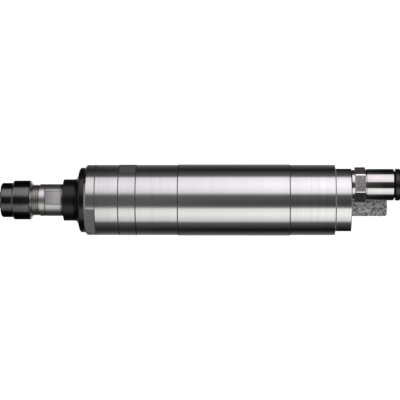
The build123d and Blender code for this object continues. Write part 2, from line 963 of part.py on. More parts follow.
def taper_radius(x, gap):
    """Radius of the collet's long taper, which starts behind its groove."""
    start = collet_front + collet_nose_length + collet_head_length + collet_groove_length
    slope = math.tan(math.radians(collet_taper_angle))
    return collet_taper_diameter / 2 - (x - start) * slope + gap


def spindle_shaft():
    """Spindle in one piece: collet taper, thread, grooved nose with flats, and journals."""
    thread = thread_diameter / 2
    nose = nose_diameter / 2
    shoulder = spindle_shoulder_diameter / 2
    slim = shaft_radius - shaft_relief
    locknut_rear = front_bearings_rear + bearing_locknut_length
    tail = collet_tail_bore / 2
    relief_front = nose_front - thread_relief_length
    groove_end = rear_bearing_rear + circlip_thickness + fit_gap
    body = turned(
        (spindle_front, taper_radius(spindle_front, taper_gap)),
        (collet_rear + seam_break, taper_radius(collet_rear + seam_break, taper_gap)),
        (collet_rear + seam_break, tail),
        (collet_rear + collet_tail_depth, tail),
        (collet_rear + collet_tail_depth, 0),
        (shaft_rear, 0),
        (shaft_rear, shaft_radius),
        (groove_end, shaft_radius),
        (groove_end, slim - fit_gap),
        (rear_bearing_rear, slim - fit_gap),
        (rear_bearing_rear, shaft_radius),
        (rear_bearing_front, shaft_radius),
        (rear_bearing_front, slim),
        (locknut_rear, slim),
        (locknut_rear, shaft_radius),
        (bearing_front, shaft_radius),
        (bearing_front, shoulder),
        (nose_rear, shoulder),
        (nose_rear, nose),
        (nose_groove_rear, nose),
        (nose_groove_rear, nose - nose_groove_depth),
        (nose_groove_front, nose - nose_groove_depth),
        (nose_groove_front, nose),
        (nose_front + nose_break, nose),
        (nose_front, nose - nose_break),
        (nose_front, thread - thread_relief_depth),
        (relief_front, thread - thread_relief_depth),
        (relief_front, thread),
        (spindle_front + seam_break, thread),
        (spindle_front, thread - seam_break),
    )
    flats_rear = nose_rear - nose_flats_setback
    return body - flats_cutter(nose_groove_rear, flats_rear, nose_flats, nose_flats_angle)


def vane_slot(index, thickness):
    """Block of one vane or its slot, which reaches just past the rotor's skin."""
    inner = rotor_radius - vane_height
    start = cylinder_front + rotor_end_gap
    end = rear_plate_front - rotor_end_gap
    height = vane_height
    block = Pos((start + end) / 2, 0, inner + height / 2) * Box(end - start, thickness, height)
    return Rot(X=360 * index / vane_count) * block


def rotor():
    """Slotted rotor on the shaft."""
    start = cylinder_front + rotor_end_gap
    end = rear_plate_front - rotor_end_gap
    body = ring(start, end, shaft_radius - shaft_relief + fit_gap, rotor_radius)
    for index in range(vane_count):
        body -= vane_slot(index, vane_thickness + vane_gap * 2)
    return body


def vanes():
    """Five vanes, pressed back flush with the rotor."""
    skin = ring(cylinder_front, rear_plate_front, 0, rotor_radius)
    floor = ring(cylinder_front, rear_plate_front, 0, rotor_radius - vane_height + vane_gap)
    for index in range(vane_count):
        yield (vane_slot(index, vane_thickness) & skin) - floor


def vane_group():
    return group(shape.solid() for shape in vanes())


# Collet and its nut


def seat_radius(x, gap):
    """Radius of the collet's front seat, which the nut presses on."""
    start = collet_front + collet_nose_length
    slope = math.tan(math.radians(collet_seat_angle))
    return collet_nose_diameter / 2 + (x - start) * slope + gap


def collet():
    """Spring collet: front seat, groove, long taper, and slots cut from both ends in turn."""
    nose_end = collet_front + collet_nose_length
    head_end = nose_end + collet_head_length
    taper_front = head_end + collet_groove_length
    groove_radius = collet_taper_diameter / 2 - collet_groove_depth
    bore = shank_diameter / 2
    body = turned(
        (collet_front, bore),
        (collet_rear, bore),
        (collet_rear, taper_radius(collet_rear, 0)),
        (taper_front, taper_radius(taper_front, 0)),
        (taper_front, groove_radius),
        (head_end, groove_radius),
        (head_end, seat_radius(head_end, 0)),
        (nose_end, seat_radius(nose_end, 0)),
        (collet_front, collet_nose_diameter / 2 - seam_break),
    )
    reach = collet_length - collet_slot_stop
    height = collet_taper_diameter
    for index in range(collet_slot_count * 2):
        from_front = index % 2 == 0
        middle = collet_front + reach / 2 if from_front else collet_rear - reach / 2
        cut = Pos(middle, 0, height / 2) * Box(reach, collet_slot_width, height)
        body -= Rot(X=180 * index / collet_slot_count) * cut
    return body


def collet_nut():
    """Round nut with two outer diameters; its face holes take a pin spanner."""
    seat_end = collet_front + collet_nose_length + collet_head_length
    thread = thread_diameter / 2 + nut_thread_gap
    step_front = nut_front + nut_front_length + nut_front_chamfer
    step_rear = step_front + nut_step_length
    body = turned(
        (nut_front, seat_radius(nut_front, taper_gap)),
        (seat_end, seat_radius(seat_end, taper_gap)),
        (spindle_front - nut_relief_length, thread),
        (nut_rear, thread),
        (nut_rear, nut_rear_diameter / 2),
        (nut_rear - nut_rear_chamfer_length, nut_diameter / 2),
        (step_rear, nut_diameter / 2),
        (step_front, nut_front_diameter / 2),
        (nut_front + nut_front_chamfer, nut_front_diameter / 2),
        (nut_front, nut_front_diameter / 2 - nut_front_chamfer),
    )
    for index in range(nut_spanner_hole_count):
        angle = math.tau * (index + 0.5) / nut_spanner_hole_count
        y = nut_spanner_circle / 2 * math.cos(angle)
        z = nut_spanner_circle / 2 * math.sin(angle)
        end = nut_front + nut_spanner_hole_depth
        body -= rod((nut_front, y, z), (end, y, z), nut_spanner_hole_diameter / 2)
    return body


# Centring pistons


def piston(angle):
    """Flat-ended piston with its seal, at an angle counted from +Y towards +Z."""
    seal_outer = piston_outer - piston_seal_setback
    seal_inner = seal_outer - piston_seal_length
    core = piston_diameter / 2 - piston_seal_height
    full = radial_rod(piston_x, piston_inner, piston_outer, piston_diameter / 2, angle)
    groove = radial_rod(piston_x, seal_inner, seal_outer, piston_diameter, angle)
    body = full - (groove - radial_rod(piston_x, seal_inner, seal_outer, core, angle))
    seal = radial_rod(
        piston_x, seal_inner + fit_gap, seal_outer - fit_gap, piston_diameter / 2, angle
    )
    seal -= radial_rod(piston_x, seal_inner, seal_outer, core + fit_gap, angle)
    return group([body.solid(), seal.solid()])


# Push-in fitting, release ring and silencer


def at_fitting(shape):
    return Pos(0, fitting_y, fitting_z) * shape


def at_silencer(shape):
    return Pos(0, silencer_y, silencer_z) * shape


def fitting_body():
    """Fitting: thread, neck, hexagon and round body, bored for the hose."""
    thread_front = rear_face - fitting_thread_length
    body_radius = fitting_body_diameter / 2
    mouth_front = fitting_rear - fitting_mouth_depth
    round_parts = turned(
        (thread_front, 0),
        (fitting_rear, 0),
        (fitting_rear, body_radius - fitting_body_break),
        (fitting_rear - fitting_body_break, body_radius),
        (fitting_body_front + fitting_body_break, body_radius),
        (fitting_body_front, body_radius - fitting_body_break),
        (hex_rear, fitting_groove_diameter / 2),
        (hex_front, fitting_neck_diameter / 2),
        (fitting_neck_front, fitting_neck_diameter / 2),
        (fitting_neck_front, fitting_thread_diameter / 2),
        (thread_front, fitting_thread_diameter / 2),
    )
    bore = turned(
        (thread_front, 0),
        (fitting_rear, 0),
        (fitting_rear, fitting_mouth_diameter / 2),
        (mouth_front, fitting_mouth_diameter / 2),
        (mouth_front, fitting_chamber_diameter / 2),
        (socket_rear, fitting_chamber_diameter / 2),
        (socket_rear, hose_diameter / 2),
        (socket_front, hose_diameter / 2),
        (socket_front, fitting_bore / 2),
        (thread_front, fitting_bore / 2),
    )
    return at_fitting(round_parts + hexagon() - bore)


def hexagon():
    """Hexagon with softened edges, its corners turned down at both ends."""
    corner_radius = fitting_hex / math.sqrt(3)
    face = Plane(origin=(hex_front, 0, 0), z_dir=(1, 0, 0)) * RegularPolygon(corner_radius, 6)
    prism = Rot(X=fitting_hex_angle) * extrude(face, fitting_hex_length)
    prism = fillet(prism.edges().filter_by(Axis.X), fitting_hex_edge)
    ease = corner_radius - fitting_hex_chamfer
    envelope = turned(
        (hex_front, 0),
        (hex_rear, 0),
        (hex_rear, ease),
        (hex_rear - fitting_hex_chamfer, corner_radius),
        (hex_front + fitting_hex_chamfer, corner_radius),
        (hex_front, ease),
    )
    return prism & envelope


def fitting_seal():
    return at_fitting(
        ring(rear_face, fitting_neck_front, fitting_seal_bore / 2, fitting_seal_diameter / 2)
    )


def hose_seal():
    start = socket_rear + fit_gap
    outer = fitting_chamber_diameter / 2 - fit_gap
    return at_fitting(ring(start, start + hose_seal_length, hose_seal_bore / 2, outer))


def hose_grip():
    """Split gripping ring behind the seal."""
    start = socket_rear + hose_seal_length + fit_gap * 2
    outer = fitting_chamber_diameter / 2 - fit_gap
    body = ring(start, start + hose_grip_length, hose_grip_bore / 2, outer)
    split = Pos(start + hose_grip_length / 2, 0, outer) * Box(hose_grip_length, 1, outer)
    return at_fitting(body - split)


def release_ring():
    """Black ring that is pushed in to free the hose."""
    sleeve_start = socket_rear + hose_seal_length + hose_grip_length + release_travel + swing_clearance
    skirt = fitting_rear + release_travel + release_gap - release_cone_length
    disc_front = skirt + release_cone_length
    disc_rear = disc_front + release_disc_length
    outer = release_diameter / 2
    corner = 1 - math.sqrt(0.5)
    return at_fitting(
        turned(
            (sleeve_start, release_bore / 2),
            (disc_rear, release_bore / 2),
            (disc_rear, outer - release_round),
            (disc_rear - release_round * corner, outer - release_round * corner),
            (disc_rear - release_round, outer),
            (disc_front + release_front_break, outer),
            (disc_front, outer - release_front_break),
            (disc_front, release_cone_diameter / 2),
            (skirt, release_skirt_diameter / 2),
            (skirt, release_sleeve_diameter / 2),
            (sleeve_start, release_sleeve_diameter / 2),
        )
    )


def silencer_stub():
    """Threaded stub that carries the sintered body."""
    thread_front = rear_face - silencer_stub_thread_length
    nipple_end = silencer_front + silencer_stub_nipple_length
    nipple = silencer_diameter / 2 - silencer_wall - fit_gap
    body = turned(
        (thread_front, silencer_stub_bore / 2),
        (nipple_end, silencer_stub_bore / 2),
        (nipple_end, nipple),
        (silencer_front, nipple),
        (silencer_front, silencer_stub_flange_diameter / 2),
        (rear_face, silencer_stub_flange_diameter / 2),
        (rear_face, port_diameter / 2 - fit_gap),
        (thread_front, port_diameter / 2 - fit_gap),
    )
    return at_silencer(body)


def silencer_body():
    """Sintered cup, closed at its rear end."""
    outer = silencer_diameter / 2
    inner = outer - silencer_wall
    floor = silencer_rear - silencer_wall
    body = turned(
        (silencer_front, inner),
        (floor, inner),
        (floor, 0),
        (silencer_rear, 0),
        (silencer_rear, outer - silencer_chamfer),
        (silencer_rear - silencer_chamfer, outer),
        (silencer_front, outer),
    )
    return at_silencer(body)


nodes = {
    "clamp_ring": clamp_ring,
    "front_cap": front_cap,
    "centring_ring": centring_ring,
    "front_tube": front_tube,
    "main_tube": main_tube,
    "rear_tube": rear_tube,
    "rear_cap": rear_cap,
    "housing_seals": housing_seals,
    "boot_collar": boot_collar,
    "boot_web": boot_web,
    "boot_flange": boot_flange,
    "boot_retainer": boot_retainer,
    "pivot_ring": pivot_ring,
    "outer_pivot_pins": outer_pivot_pins,
    "inner_pivot_pins": inner_pivot_pins,
    "air_spigot": air_spigot,
    "spigot_seal": spigot_seal,
    "trunnion_cap": trunnion_cap,
    "cartridge_nut": cartridge_nut,
    "cartridge_sleeve": cartridge_sleeve,
    "locating_pin": locating_pin,
    "front_end_plate": front_end_plate,
    "motor_cylinder": motor_cylinder,
    "rear_end_plate": rear_end_plate,
    "nose_sleeve": nose_sleeve,
    "bearing_retainer": bearing_retainer,
    "front_bearing_outer_races": front_bearing_outer_races,
    "front_bearing_inner_races": front_bearing_inner_races,
    "front_bearing_balls": front_bearing_balls,
    "front_bearing_cages": front_bearing_cages,
    "outer_bearing_spacer": outer_bearing_spacer,
    "inner_bearing_spacer": inner_bearing_spacer,
    "bearing_locknut": bearing_locknut,
    "rear_bearing_outer_race": rear_bearing_outer_race,
    "rear_bearing_inner_race": rear_bearing_inner_race,
    "rear_bearing_balls": rear_bearing_balls,
    "rear_bearing_cage": rear_bearing_cage,
    "shaft_circlip": shaft_circlip,
    "spindle_shaft": spindle_shaft,
    "rotor": rotor,
    "vanes": vane_group,
    "collet": collet,
    "collet_nut": collet_nut,
    "fitting_body": fitting_body,
    "fitting_seal": fitting_seal,
    "hose_seal": hose_seal,
    "hose_grip": hose_grip,
    "release_ring": release_ring,
    "silencer_stub": silencer_stub,
    "silencer_body": silencer_body,
}

piston_angles = {"piston_far": 0, "piston_top": 90, "piston_near": 180, "piston_bottom": 270}

os.makedirs("parts", exist_ok=True)
for node, make in nodes.items():
    export_step(make(), f"parts/{node}.step")
for node, angle in piston_angles.items():
    export_step(piston(angle), f"parts/{node}.step")
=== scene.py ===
import json
import math

import bmesh
import bpy
from mathutils import Matrix, Vector, noise
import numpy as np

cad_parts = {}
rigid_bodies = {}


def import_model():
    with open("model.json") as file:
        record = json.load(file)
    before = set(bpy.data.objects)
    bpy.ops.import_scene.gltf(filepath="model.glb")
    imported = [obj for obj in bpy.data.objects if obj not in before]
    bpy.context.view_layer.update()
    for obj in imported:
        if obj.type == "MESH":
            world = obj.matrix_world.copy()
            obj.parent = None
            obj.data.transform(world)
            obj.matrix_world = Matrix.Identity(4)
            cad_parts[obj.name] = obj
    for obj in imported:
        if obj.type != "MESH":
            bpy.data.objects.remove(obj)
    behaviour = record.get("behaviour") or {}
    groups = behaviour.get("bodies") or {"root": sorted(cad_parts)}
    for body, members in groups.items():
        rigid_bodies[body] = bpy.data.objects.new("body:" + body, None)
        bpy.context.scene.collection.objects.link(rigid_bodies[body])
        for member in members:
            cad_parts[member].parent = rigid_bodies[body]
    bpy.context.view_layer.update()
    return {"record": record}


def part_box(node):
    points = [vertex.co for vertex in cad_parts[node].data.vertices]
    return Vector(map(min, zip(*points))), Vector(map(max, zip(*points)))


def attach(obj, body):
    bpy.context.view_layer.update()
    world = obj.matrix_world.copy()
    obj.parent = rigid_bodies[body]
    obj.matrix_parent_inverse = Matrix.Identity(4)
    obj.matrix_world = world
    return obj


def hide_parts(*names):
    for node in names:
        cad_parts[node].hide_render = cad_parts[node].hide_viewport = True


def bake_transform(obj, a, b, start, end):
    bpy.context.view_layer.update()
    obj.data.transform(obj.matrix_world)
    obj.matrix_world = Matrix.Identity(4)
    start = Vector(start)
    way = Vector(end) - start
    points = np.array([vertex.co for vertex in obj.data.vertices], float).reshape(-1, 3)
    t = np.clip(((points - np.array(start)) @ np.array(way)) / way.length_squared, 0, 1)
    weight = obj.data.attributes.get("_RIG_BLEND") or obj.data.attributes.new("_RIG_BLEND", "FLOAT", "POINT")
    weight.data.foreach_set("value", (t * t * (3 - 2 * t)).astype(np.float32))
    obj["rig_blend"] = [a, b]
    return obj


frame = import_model()

MM = 0.001

# The photograph: the size of a pixel, the pixel at the origin, and the pixels to a side
PIXEL = 0.5953 * MM
ORIGIN_PIXEL = (234.0, 200.0)
FRAME_PIXELS = 400

# The camera: the column of pixels it stands opposite, its distance from the axis, its nearest and
# farthest view, and its sensor's width in millimetres
CAMERA_PIXEL_X = 245.0
CAMERA_DISTANCE = 1.0715
CAMERA_CLIP = (0.05, 30.0)
SENSOR = 36.0


# Small helpers


def node_box(name):
    """Lowest corner, highest corner and centre of a CAD node."""
    low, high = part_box(name)
    return low, high, (low + high) / 2


def new_object(name, data):
    obj = bpy.data.objects.new(name, data)
    bpy.context.scene.collection.objects.link(obj)
    return obj


# A noise's values mostly lie in this range
NOISE_RANGE = (0.3, 0.7)


class Nodes:
    """A node tree that is built by short calls.

    A value is a number, a colour or another node's socket."""

    def __init__(self, tree):
        self.tree = tree
        self.tree.nodes.clear()

    def add(self, kind, inputs=None, **settings):
        node = self.tree.nodes.new(kind)
        for key, value in settings.items():
            setattr(node, key, value)
        for key, value in (inputs or {}).items():
            socket = node.inputs[key]
            if isinstance(value, bpy.types.NodeSocket):
                self.tree.links.new(value, socket)
            else:
                socket.default_value = value
        return node

    def math(self, operation, *values):
        return self.add("ShaderNodeMath", dict(enumerate(values)), operation=operation).outputs[0]

    def product(self, value, *others):
        for other in others:
            value = self.math("MULTIPLY", value, other)
        return value

    def weighted(self, first, first_weight, second, second_weight):
        """The sum of two values, each times its weight."""
        first = self.product(first, first_weight)
        second = self.product(second, second_weight)
        return self.math("ADD", first, second)

    def between(self, value, low, high):
        """One between two limits, nought outside them."""
        above = self.math("GREATER_THAN", value, low)
        below = self.math("LESS_THAN", value, high)
        return self.product(above, below)

    def span(self, value, start, end, low, high):
        """Maps start to low and end to high, held at both ends."""
        inputs = {"Value": value, "From Min": start, "From Max": end, "To Min": low, "To Max": high}
        return self.add("ShaderNodeMapRange", inputs, clamp=True).outputs["Result"]

    def spread(self, value, low, high):
        """Maps a noise's usual values to a range."""
        return self.span(value, *NOISE_RANGE, low, high)

    def mix(self, factor, first, second):
        """The first number where the factor is nought, the second where it is one."""
        inputs = {0: factor, 2: first, 3: second}
        return self.add("ShaderNodeMix", inputs, data_type="FLOAT").outputs[0]

    def mix_colour(self, factor, first, second):
        """The same with two colours."""
        inputs = {0: factor, 6: first, 7: second}
        return self.add("ShaderNodeMix", inputs, data_type="RGBA").outputs[2]

    def tinted(self, colour, shade):
        """A colour of three parts, or a colour socket, scaled by a shade."""
        inputs = {0: colour, "Scale": shade}
        return self.add("ShaderNodeVectorMath", inputs, operation="SCALE").outputs[0]

    def place(self):
        """Position on the piece, in metres of its own frame."""
        return self.add("ShaderNodeTexCoord").outputs["Object"]

    def coordinates(self):
        return self.add("ShaderNodeSeparateXYZ", {"Vector": self.place()}).outputs

    def radius(self, centre=(0.0, 0.0)):
        """Distance from an axis along X."""
        place = self.coordinates()
        y = self.math("SUBTRACT", place["Y"], centre[0])
        z = self.math("SUBTRACT", place["Z"], centre[1])
        return self.math("SQRT", self.math("ADD", self.product(y, y), self.product(z, z)))

    def stretched(self, along, across):
        """The position, scaled by one number along the axis and by another across it."""
        inputs = {"Vector": self.place(), "Scale": (along, across, across)}
        return self.add("ShaderNodeMapping", inputs).outputs["Vector"]

    def noise(self, vector, scale=1.0, detail=2.0, roughness=0.5):
        inputs = {"Vector": vector, "Scale": scale, "Detail": detail, "Roughness": roughness}
        return self.add("ShaderNodeTexNoise", inputs).outputs["Fac"]

    def bump(self, height, strength, distance):
        inputs = {"Height": height, "Strength": strength, "Distance": distance}
        return self.add("ShaderNodeBump", inputs).outputs["Normal"]

    def emission(self, strength, colour=(1.0, 1.0, 1.0, 1.0)):
        return self.add("ShaderNodeEmission", {"Color": colour, "Strength": strength}).outputs[0]


class Shader(Nodes):
    """The node tree of a new material."""

    def __init__(self, name):
        self.material = bpy.data.materials.new(name)
        self.material.use_nodes = True
        super().__init__(self.material.node_tree)

    def surface(self, *shaders):
        """Ends the tree with one shader, or with the sum of two, and returns the material."""
        total = shaders[0]
        if len(shaders) == 2:
            total = self.add("ShaderNodeAddShader", dict(enumerate(shaders))).outputs[0]
        self.add("ShaderNodeOutputMaterial", {"Surface": total})
        return self.material

    def principled(self, inputs):
        return self.surface(self.add("ShaderNodeBsdfPrincipled", inputs).outputs[0])


def grey(value, warmth=0.0):
    """A grey, a little warmer above zero."""
    return (value * (1 + warmth), value, value * (1 - warmth), 1.0)


# Materials. A texture's scale is its grains to the metre.


# Turning marks: fine, middle and broad scales, and the drift that keeps them from true circles
MARKS_SCALES = (6000.0, 1500.0, 380.0)
MARKS_DRIFT = 0.04

# How far a flat lies below the turned radius, and how nearly its faces point outwards
MILLED_DEPTH = 0.05 * MM
FACING_OUT = 0.84

# A ring's edge fades between these shares of its reach
RING_EDGE = (0.8, 1.3)


def turning_marks(s):
    """Noise that changes along the axis, or outwards on a face, and hardly round it."""
    place = s.coordinates()
    along = s.math("ADD", place["X"], s.product(place["Y"], MARKS_DRIFT))
    out = s.math("ADD", s.radius(), s.product(place["Z"], MARKS_DRIFT))
    track = s.add("ShaderNodeCombineXYZ", {"X": along, "Y": out}).outputs[0]
    return [s.noise(track, scale=scale, detail=3.0) for scale in MARKS_SCALES]


def milled_mask(s, zones):
    """One on flats that were milled into a cylinder, nought on the turned surface.

    A zone is two stations along the axis and a turned radius, below which faces are milled."""
    place = s.coordinates()
    radius = s.radius()
    normal = s.add("ShaderNodeTexCoord").outputs["Normal"]
    outward = s.add("ShaderNodeCombineXYZ", {"Y": place["Y"], "Z": place["Z"]}).outputs[0]
    outward = s.add("ShaderNodeVectorMath", {0: outward}, operation="NORMALIZE").outputs[0]
    inputs = {0: normal, 1: outward}
    facing = s.add("ShaderNodeVectorMath", inputs, operation="DOT_PRODUCT").outputs["Value"]
    total = 0.0
    for start, end, turned_radius in zones:
        low = s.math("LESS_THAN", radius, turned_radius - MILLED_DEPTH)
        total = s.math("ADD", s.product(s.between(place["X"], start, end), low), total)
    return s.product(s.math("GREATER_THAN", facing, FACING_OUT), total)


def near_station(s, stations, reach):
    """One within a reach of any of the stations along the axis, fading to nought beyond it."""
    along = s.coordinates()["X"]
    total = 0.0
    for station in stations:
        away = s.math("ABSOLUTE", s.math("SUBTRACT", along, station))
        close = s.span(away, reach * RING_EDGE[0], reach * RING_EDGE[1], 1.0, 0.0)
        total = s.math("MAXIMUM", close, total)
    return total


def ringed(s, shade, rough, rings):
    """Paints shade and highlights, and changes the roughness, in rings round the axis. Each has stations,
    reach, shade and roughness.
    """
    for stations, reach, ring_shade, ring_rough in rings:
        ring = near_station(s, stations, reach)
        shade = s.mix(ring, shade, ring_shade)
        rough = s.mix(ring, rough, ring_rough)
    return shade, rough


def turned_shine(s, round_blur):
    """Principled inputs that blur a reflection round the axis, as turning marks do."""
    tangent = s.add("ShaderNodeTangent", direction_type="RADIAL", axis="X").outputs[0]
    return {"Anisotropic": round_blur, "Anisotropic Rotation": 0.25, "Tangent": tangent}


def turned_steel(name, tone, roughness, streak, round_blur, flats=(), rings=(), ground=0.0):
    """Steel with fine marks round the axis, milled flats, and rings of painted shade and painted highlight.

    Within the ground distance of the origin its streaks are fainter."""
    ground_streak = streak * 0.3
    milled_shade = (0.95, 1.38)
    milled_rough = 0.42
    s = Shader(name)
    fine, middle, broad = turning_marks(s)
    marks = s.weighted(middle, 0.5, broad, 0.5)
    shade = s.spread(marks, 1 - streak, 1 + streak)
    if ground:
        inside = s.math("LESS_THAN", s.math("ABSOLUTE", s.coordinates()["X"]), ground)
        shade = s.mix(inside, shade, s.spread(marks, 1 - ground_streak, 1 + ground_streak))
    slow = s.noise(s.stretched(70.0, 4.0), detail=1.0)
    shade = s.product(shade, s.spread(slow, 0.97, 1.03))
    rough = s.spread(s.weighted(fine, 0.5, broad, 0.5), roughness * 0.94, roughness * 1.06)
    height = s.weighted(fine, 0.3, middle, 0.7)
    if flats:
        milled = milled_mask(s, flats)
        mottle = s.noise(s.stretched(700.0, 700.0), detail=4.0, roughness=0.7)
        shade = s.mix(milled, shade, s.spread(mottle, *milled_shade))
        rough = s.mix(milled, rough, milled_rough)
        height = s.mix(milled, height, mottle)
    shade, rough = ringed(s, shade, rough, rings)
    return s.principled({
        "Base Color": s.tinted(grey(tone)[:3], shade),
        "Metallic": 1.0,
        "Roughness": rough,
        "Normal": s.bump(height, 0.12, 0.02 * MM),
        **turned_shine(s, round_blur),
    })


def threaded_steel(name, thread_x, flats, lip):
    """The spindle: rougher steel, its thread in a tint of its own, and painted shade where it runs into the
    boot's lip.
    """
    groove_reach = 0.4 * MM
    groove_painted_shade = (0.5, 0.6)
    painted_rim_reach = (0.28 * MM, 0.14 * MM)
    painted_rim_shade = 0.45
    lip_reach = (1.6 * MM, 0.2 * MM)
    lip_painted_shade = 0.3
    thread_radii = (8.75 * MM, 9.25 * MM)
    thread_colours = (0.39, 0.375, 0.34, 1.0), (0.62, 0.605, 0.57, 1.0)
    s = Shader(name)
    fine, middle, broad = turning_marks(s)
    radius = s.radius()
    along = s.coordinates()["X"]
    milled = milled_mask(s, [flats])
    mottle = s.noise(s.stretched(900.0, 900.0), detail=4.0, roughness=0.7)
    # Painted reflection: the flats are lighter towards the rear
    painted_reflection_ramp = s.span(along, thread_x + 4.0 * MM, thread_x + 10.0 * MM, 0.8, 1.25)
    # Painted shade along the edges of the flats
    rim = s.span(radius, flats[2] - painted_rim_reach[0], flats[2] - painted_rim_reach[1], 1.0, painted_rim_shade)
    flat_shade = s.product(painted_reflection_ramp, s.spread(mottle, 0.9, 1.1), rim)
    shade = s.mix(milled, s.spread(middle, 0.9, 1.1), flat_shade)
    rough = s.mix(milled, s.spread(broad, 0.38, 0.46), 0.38)
    # Painted shade and a rougher finish in the groove before the flats
    shade, rough = ringed(s, shade, rough, [([flats[0]], groove_reach, *groove_painted_shade)])
    # Painted shade where the nose runs into the boot's lip
    shade = s.product(shade, s.span(along, lip - lip_reach[0], lip - lip_reach[1], 1.0, lip_painted_shade))
    threaded = s.span(along, thread_x - 0.2 * MM, thread_x + 0.2 * MM, 1.0, 0.0)
    # The thread's own tint, darker towards the roots of its grooves
    thread_tint = s.mix_colour(s.span(radius, *thread_radii, 0.0, 1.0), *thread_colours)
    return s.principled({
        "Base Color": s.tinted(s.mix_colour(threaded, grey(0.72, 0.01), thread_tint), shade),
        "Metallic": 1.0,
        "Roughness": rough,
        "Normal": s.bump(s.math("ADD", fine, mottle), 0.12, 0.02 * MM),
        **turned_shine(s, 0.6),
    })


def plated(name, colour, roughness, hexagon, axis, corner):
    """Nickel plate: the hexagon's faces dull and grained, its corners polished with a painted highlight."""
    # The corners' painted highlight shade, and their polished roughness
    corner_painted_highlight = (1.6, 0.2)
    face_shade = (0.6, 1.72)
    face_rough = 0.28
    s = Shader(name)
    grain = s.noise(s.stretched(1100.0, 1100.0), detail=4.0, roughness=0.7)
    cloud = s.noise(s.stretched(160.0, 160.0), detail=2.0)
    inside = s.between(s.coordinates()["X"], *hexagon)
    rounded = s.span(s.radius(axis), corner - 0.04 * MM, corner, 0.0, 1.0)
    painted_highlight_corners = s.product(inside, rounded)
    dull = s.product(inside, s.math("SUBTRACT", 1.0, rounded))
    shade = s.mix(painted_highlight_corners, s.spread(cloud, 0.94, 1.05), corner_painted_highlight[0])
    shade = s.mix(dull, shade, s.span(grain, 0.36, 0.61, *face_shade))
    rough = s.mix(painted_highlight_corners, s.spread(cloud, roughness * 0.7, roughness * 1.3), corner_painted_highlight[1])
    rough = s.mix(dull, rough, face_rough)
    height = s.mix(dull, s.product(cloud, 0.05), grain)
    return s.principled({
        "Base Color": s.tinted(colour, shade),
        "Metallic": 1.0,
        "Roughness": rough,
        "Normal": s.bump(height, 0.25, 0.06 * MM),
    })


def plain_metal(name, colour, roughness):
    """Metal with a fine even grain, for machined, ground and cast pieces."""
    s = Shader(name)
    grain = s.noise(s.stretched(3000.0, 1800.0), detail=3.0)
    dark = tuple(part * 0.86 for part in colour) + (1.0,)
    light = tuple(part * 1.08 for part in colour) + (1.0,)
    return s.principled({
        "Base Color": s.mix_colour(grain, dark, light),
        "Metallic": 1.0,
        "Roughness": s.spread(grain, roughness * 0.85, roughness * 1.2),
        "Normal": s.bump(grain, 0.2, 0.01 * MM),
    })


def sintered(name):
    """Pressed metal grains: each a little lighter or darker, with painted shade in the pores between them.
    """
    grain_shade = (0.2, 1.75)
    pore_painted_shade = (0.4, 1.25)
    patch_shade = (0.75, 1.3)
    lightest = 1.06
    s = Shader(name)
    cells = s.add("ShaderNodeTexVoronoi", {"Vector": s.place(), "Scale": 900.0, "Randomness": 1.0})
    grain = s.add("ShaderNodeSeparateColor", {"Color": cells.outputs["Color"]}).outputs[0]
    pores = s.noise(s.stretched(1400.0, 1400.0), detail=5.0, roughness=0.75)
    patches = s.noise(s.stretched(110.0, 110.0), detail=2.0)
    shade = s.product(
        s.span(grain, 0.0, 1.0, *grain_shade),
        s.span(pores, 0.38, 0.6, *pore_painted_shade),
        s.spread(patches, *patch_shade),
    )
    return s.principled({
        "Base Color": s.tinted((0.94, 0.94, 0.93), s.math("MINIMUM", shade, lightest)),
        "Metallic": 0.1,
        "Roughness": s.spread(pores, 0.62, 0.4),
        "Normal": s.bump(pores, 0.6, 0.25 * MM),
    })


def moulded(name, tone, roughness, glossy_from=1.0):
    """Rubber or plastic with a fine moulded grain and a trace of dust.

    Behind the station glossy_from it was moulded smoother."""
    smoothing = 0.6
    s = Shader(name)
    edge = (glossy_from - 0.3 * MM, glossy_from + 0.3 * MM)
    rough = s.product(s.span(s.coordinates()["X"], *edge, 1.0, smoothing), roughness)
    grain = s.noise(s.stretched(1800.0, 1800.0), detail=4.0)
    dust = s.noise(s.stretched(140.0, 140.0), detail=3.0)
    return s.principled({
        "Base Color": s.mix_colour(dust, grey(tone * 0.7), grey(tone * 1.6)),
        "Roughness": s.product(rough, s.spread(dust, 0.9, 1.15)),
        "Specular IOR Level": 0.5,
        "Normal": s.bump(grain, 0.25, 0.02 * MM),
    })


def laminate(name):
    """Brown cotton-bound laminate with its weave."""
    s = Shader(name)
    wave = {"Vector": s.place(), "Scale": 600.0, "Distortion": 2.0}
    weave = s.add("ShaderNodeTexWave", wave).outputs["Fac"]
    return s.principled({
        "Base Color": s.mix_colour(weave, (0.10, 0.055, 0.03, 1.0), (0.17, 0.10, 0.055, 1.0)),
        "Roughness": s.span(weave, 0.0, 1.0, 0.45, 0.6),
        "Normal": s.bump(weave, 0.2, 0.03 * MM),
    })


# Lengths of the thread, of the plain ring behind it and of the joints' broken edges
THREAD_LENGTH = 18.7 * MM
NOSE_RING = 3.45 * MM
JOINT_BREAK = 0.3 * MM

# The collet nut: its rear chamfer, the dark edge before that, and its step's two ends
NUT_CHAMFER = 1.25 * MM
NUT_EDGE = 0.3 * MM
NUT_STEP = (6.65 * MM, 7.75 * MM)

# The fitting's hexagon, behind the rear face, and the radius of its rounded corners
HEXAGON = (2.25 * MM, 8.6 * MM)
HEXAGON_CORNER = 10.3 * MM

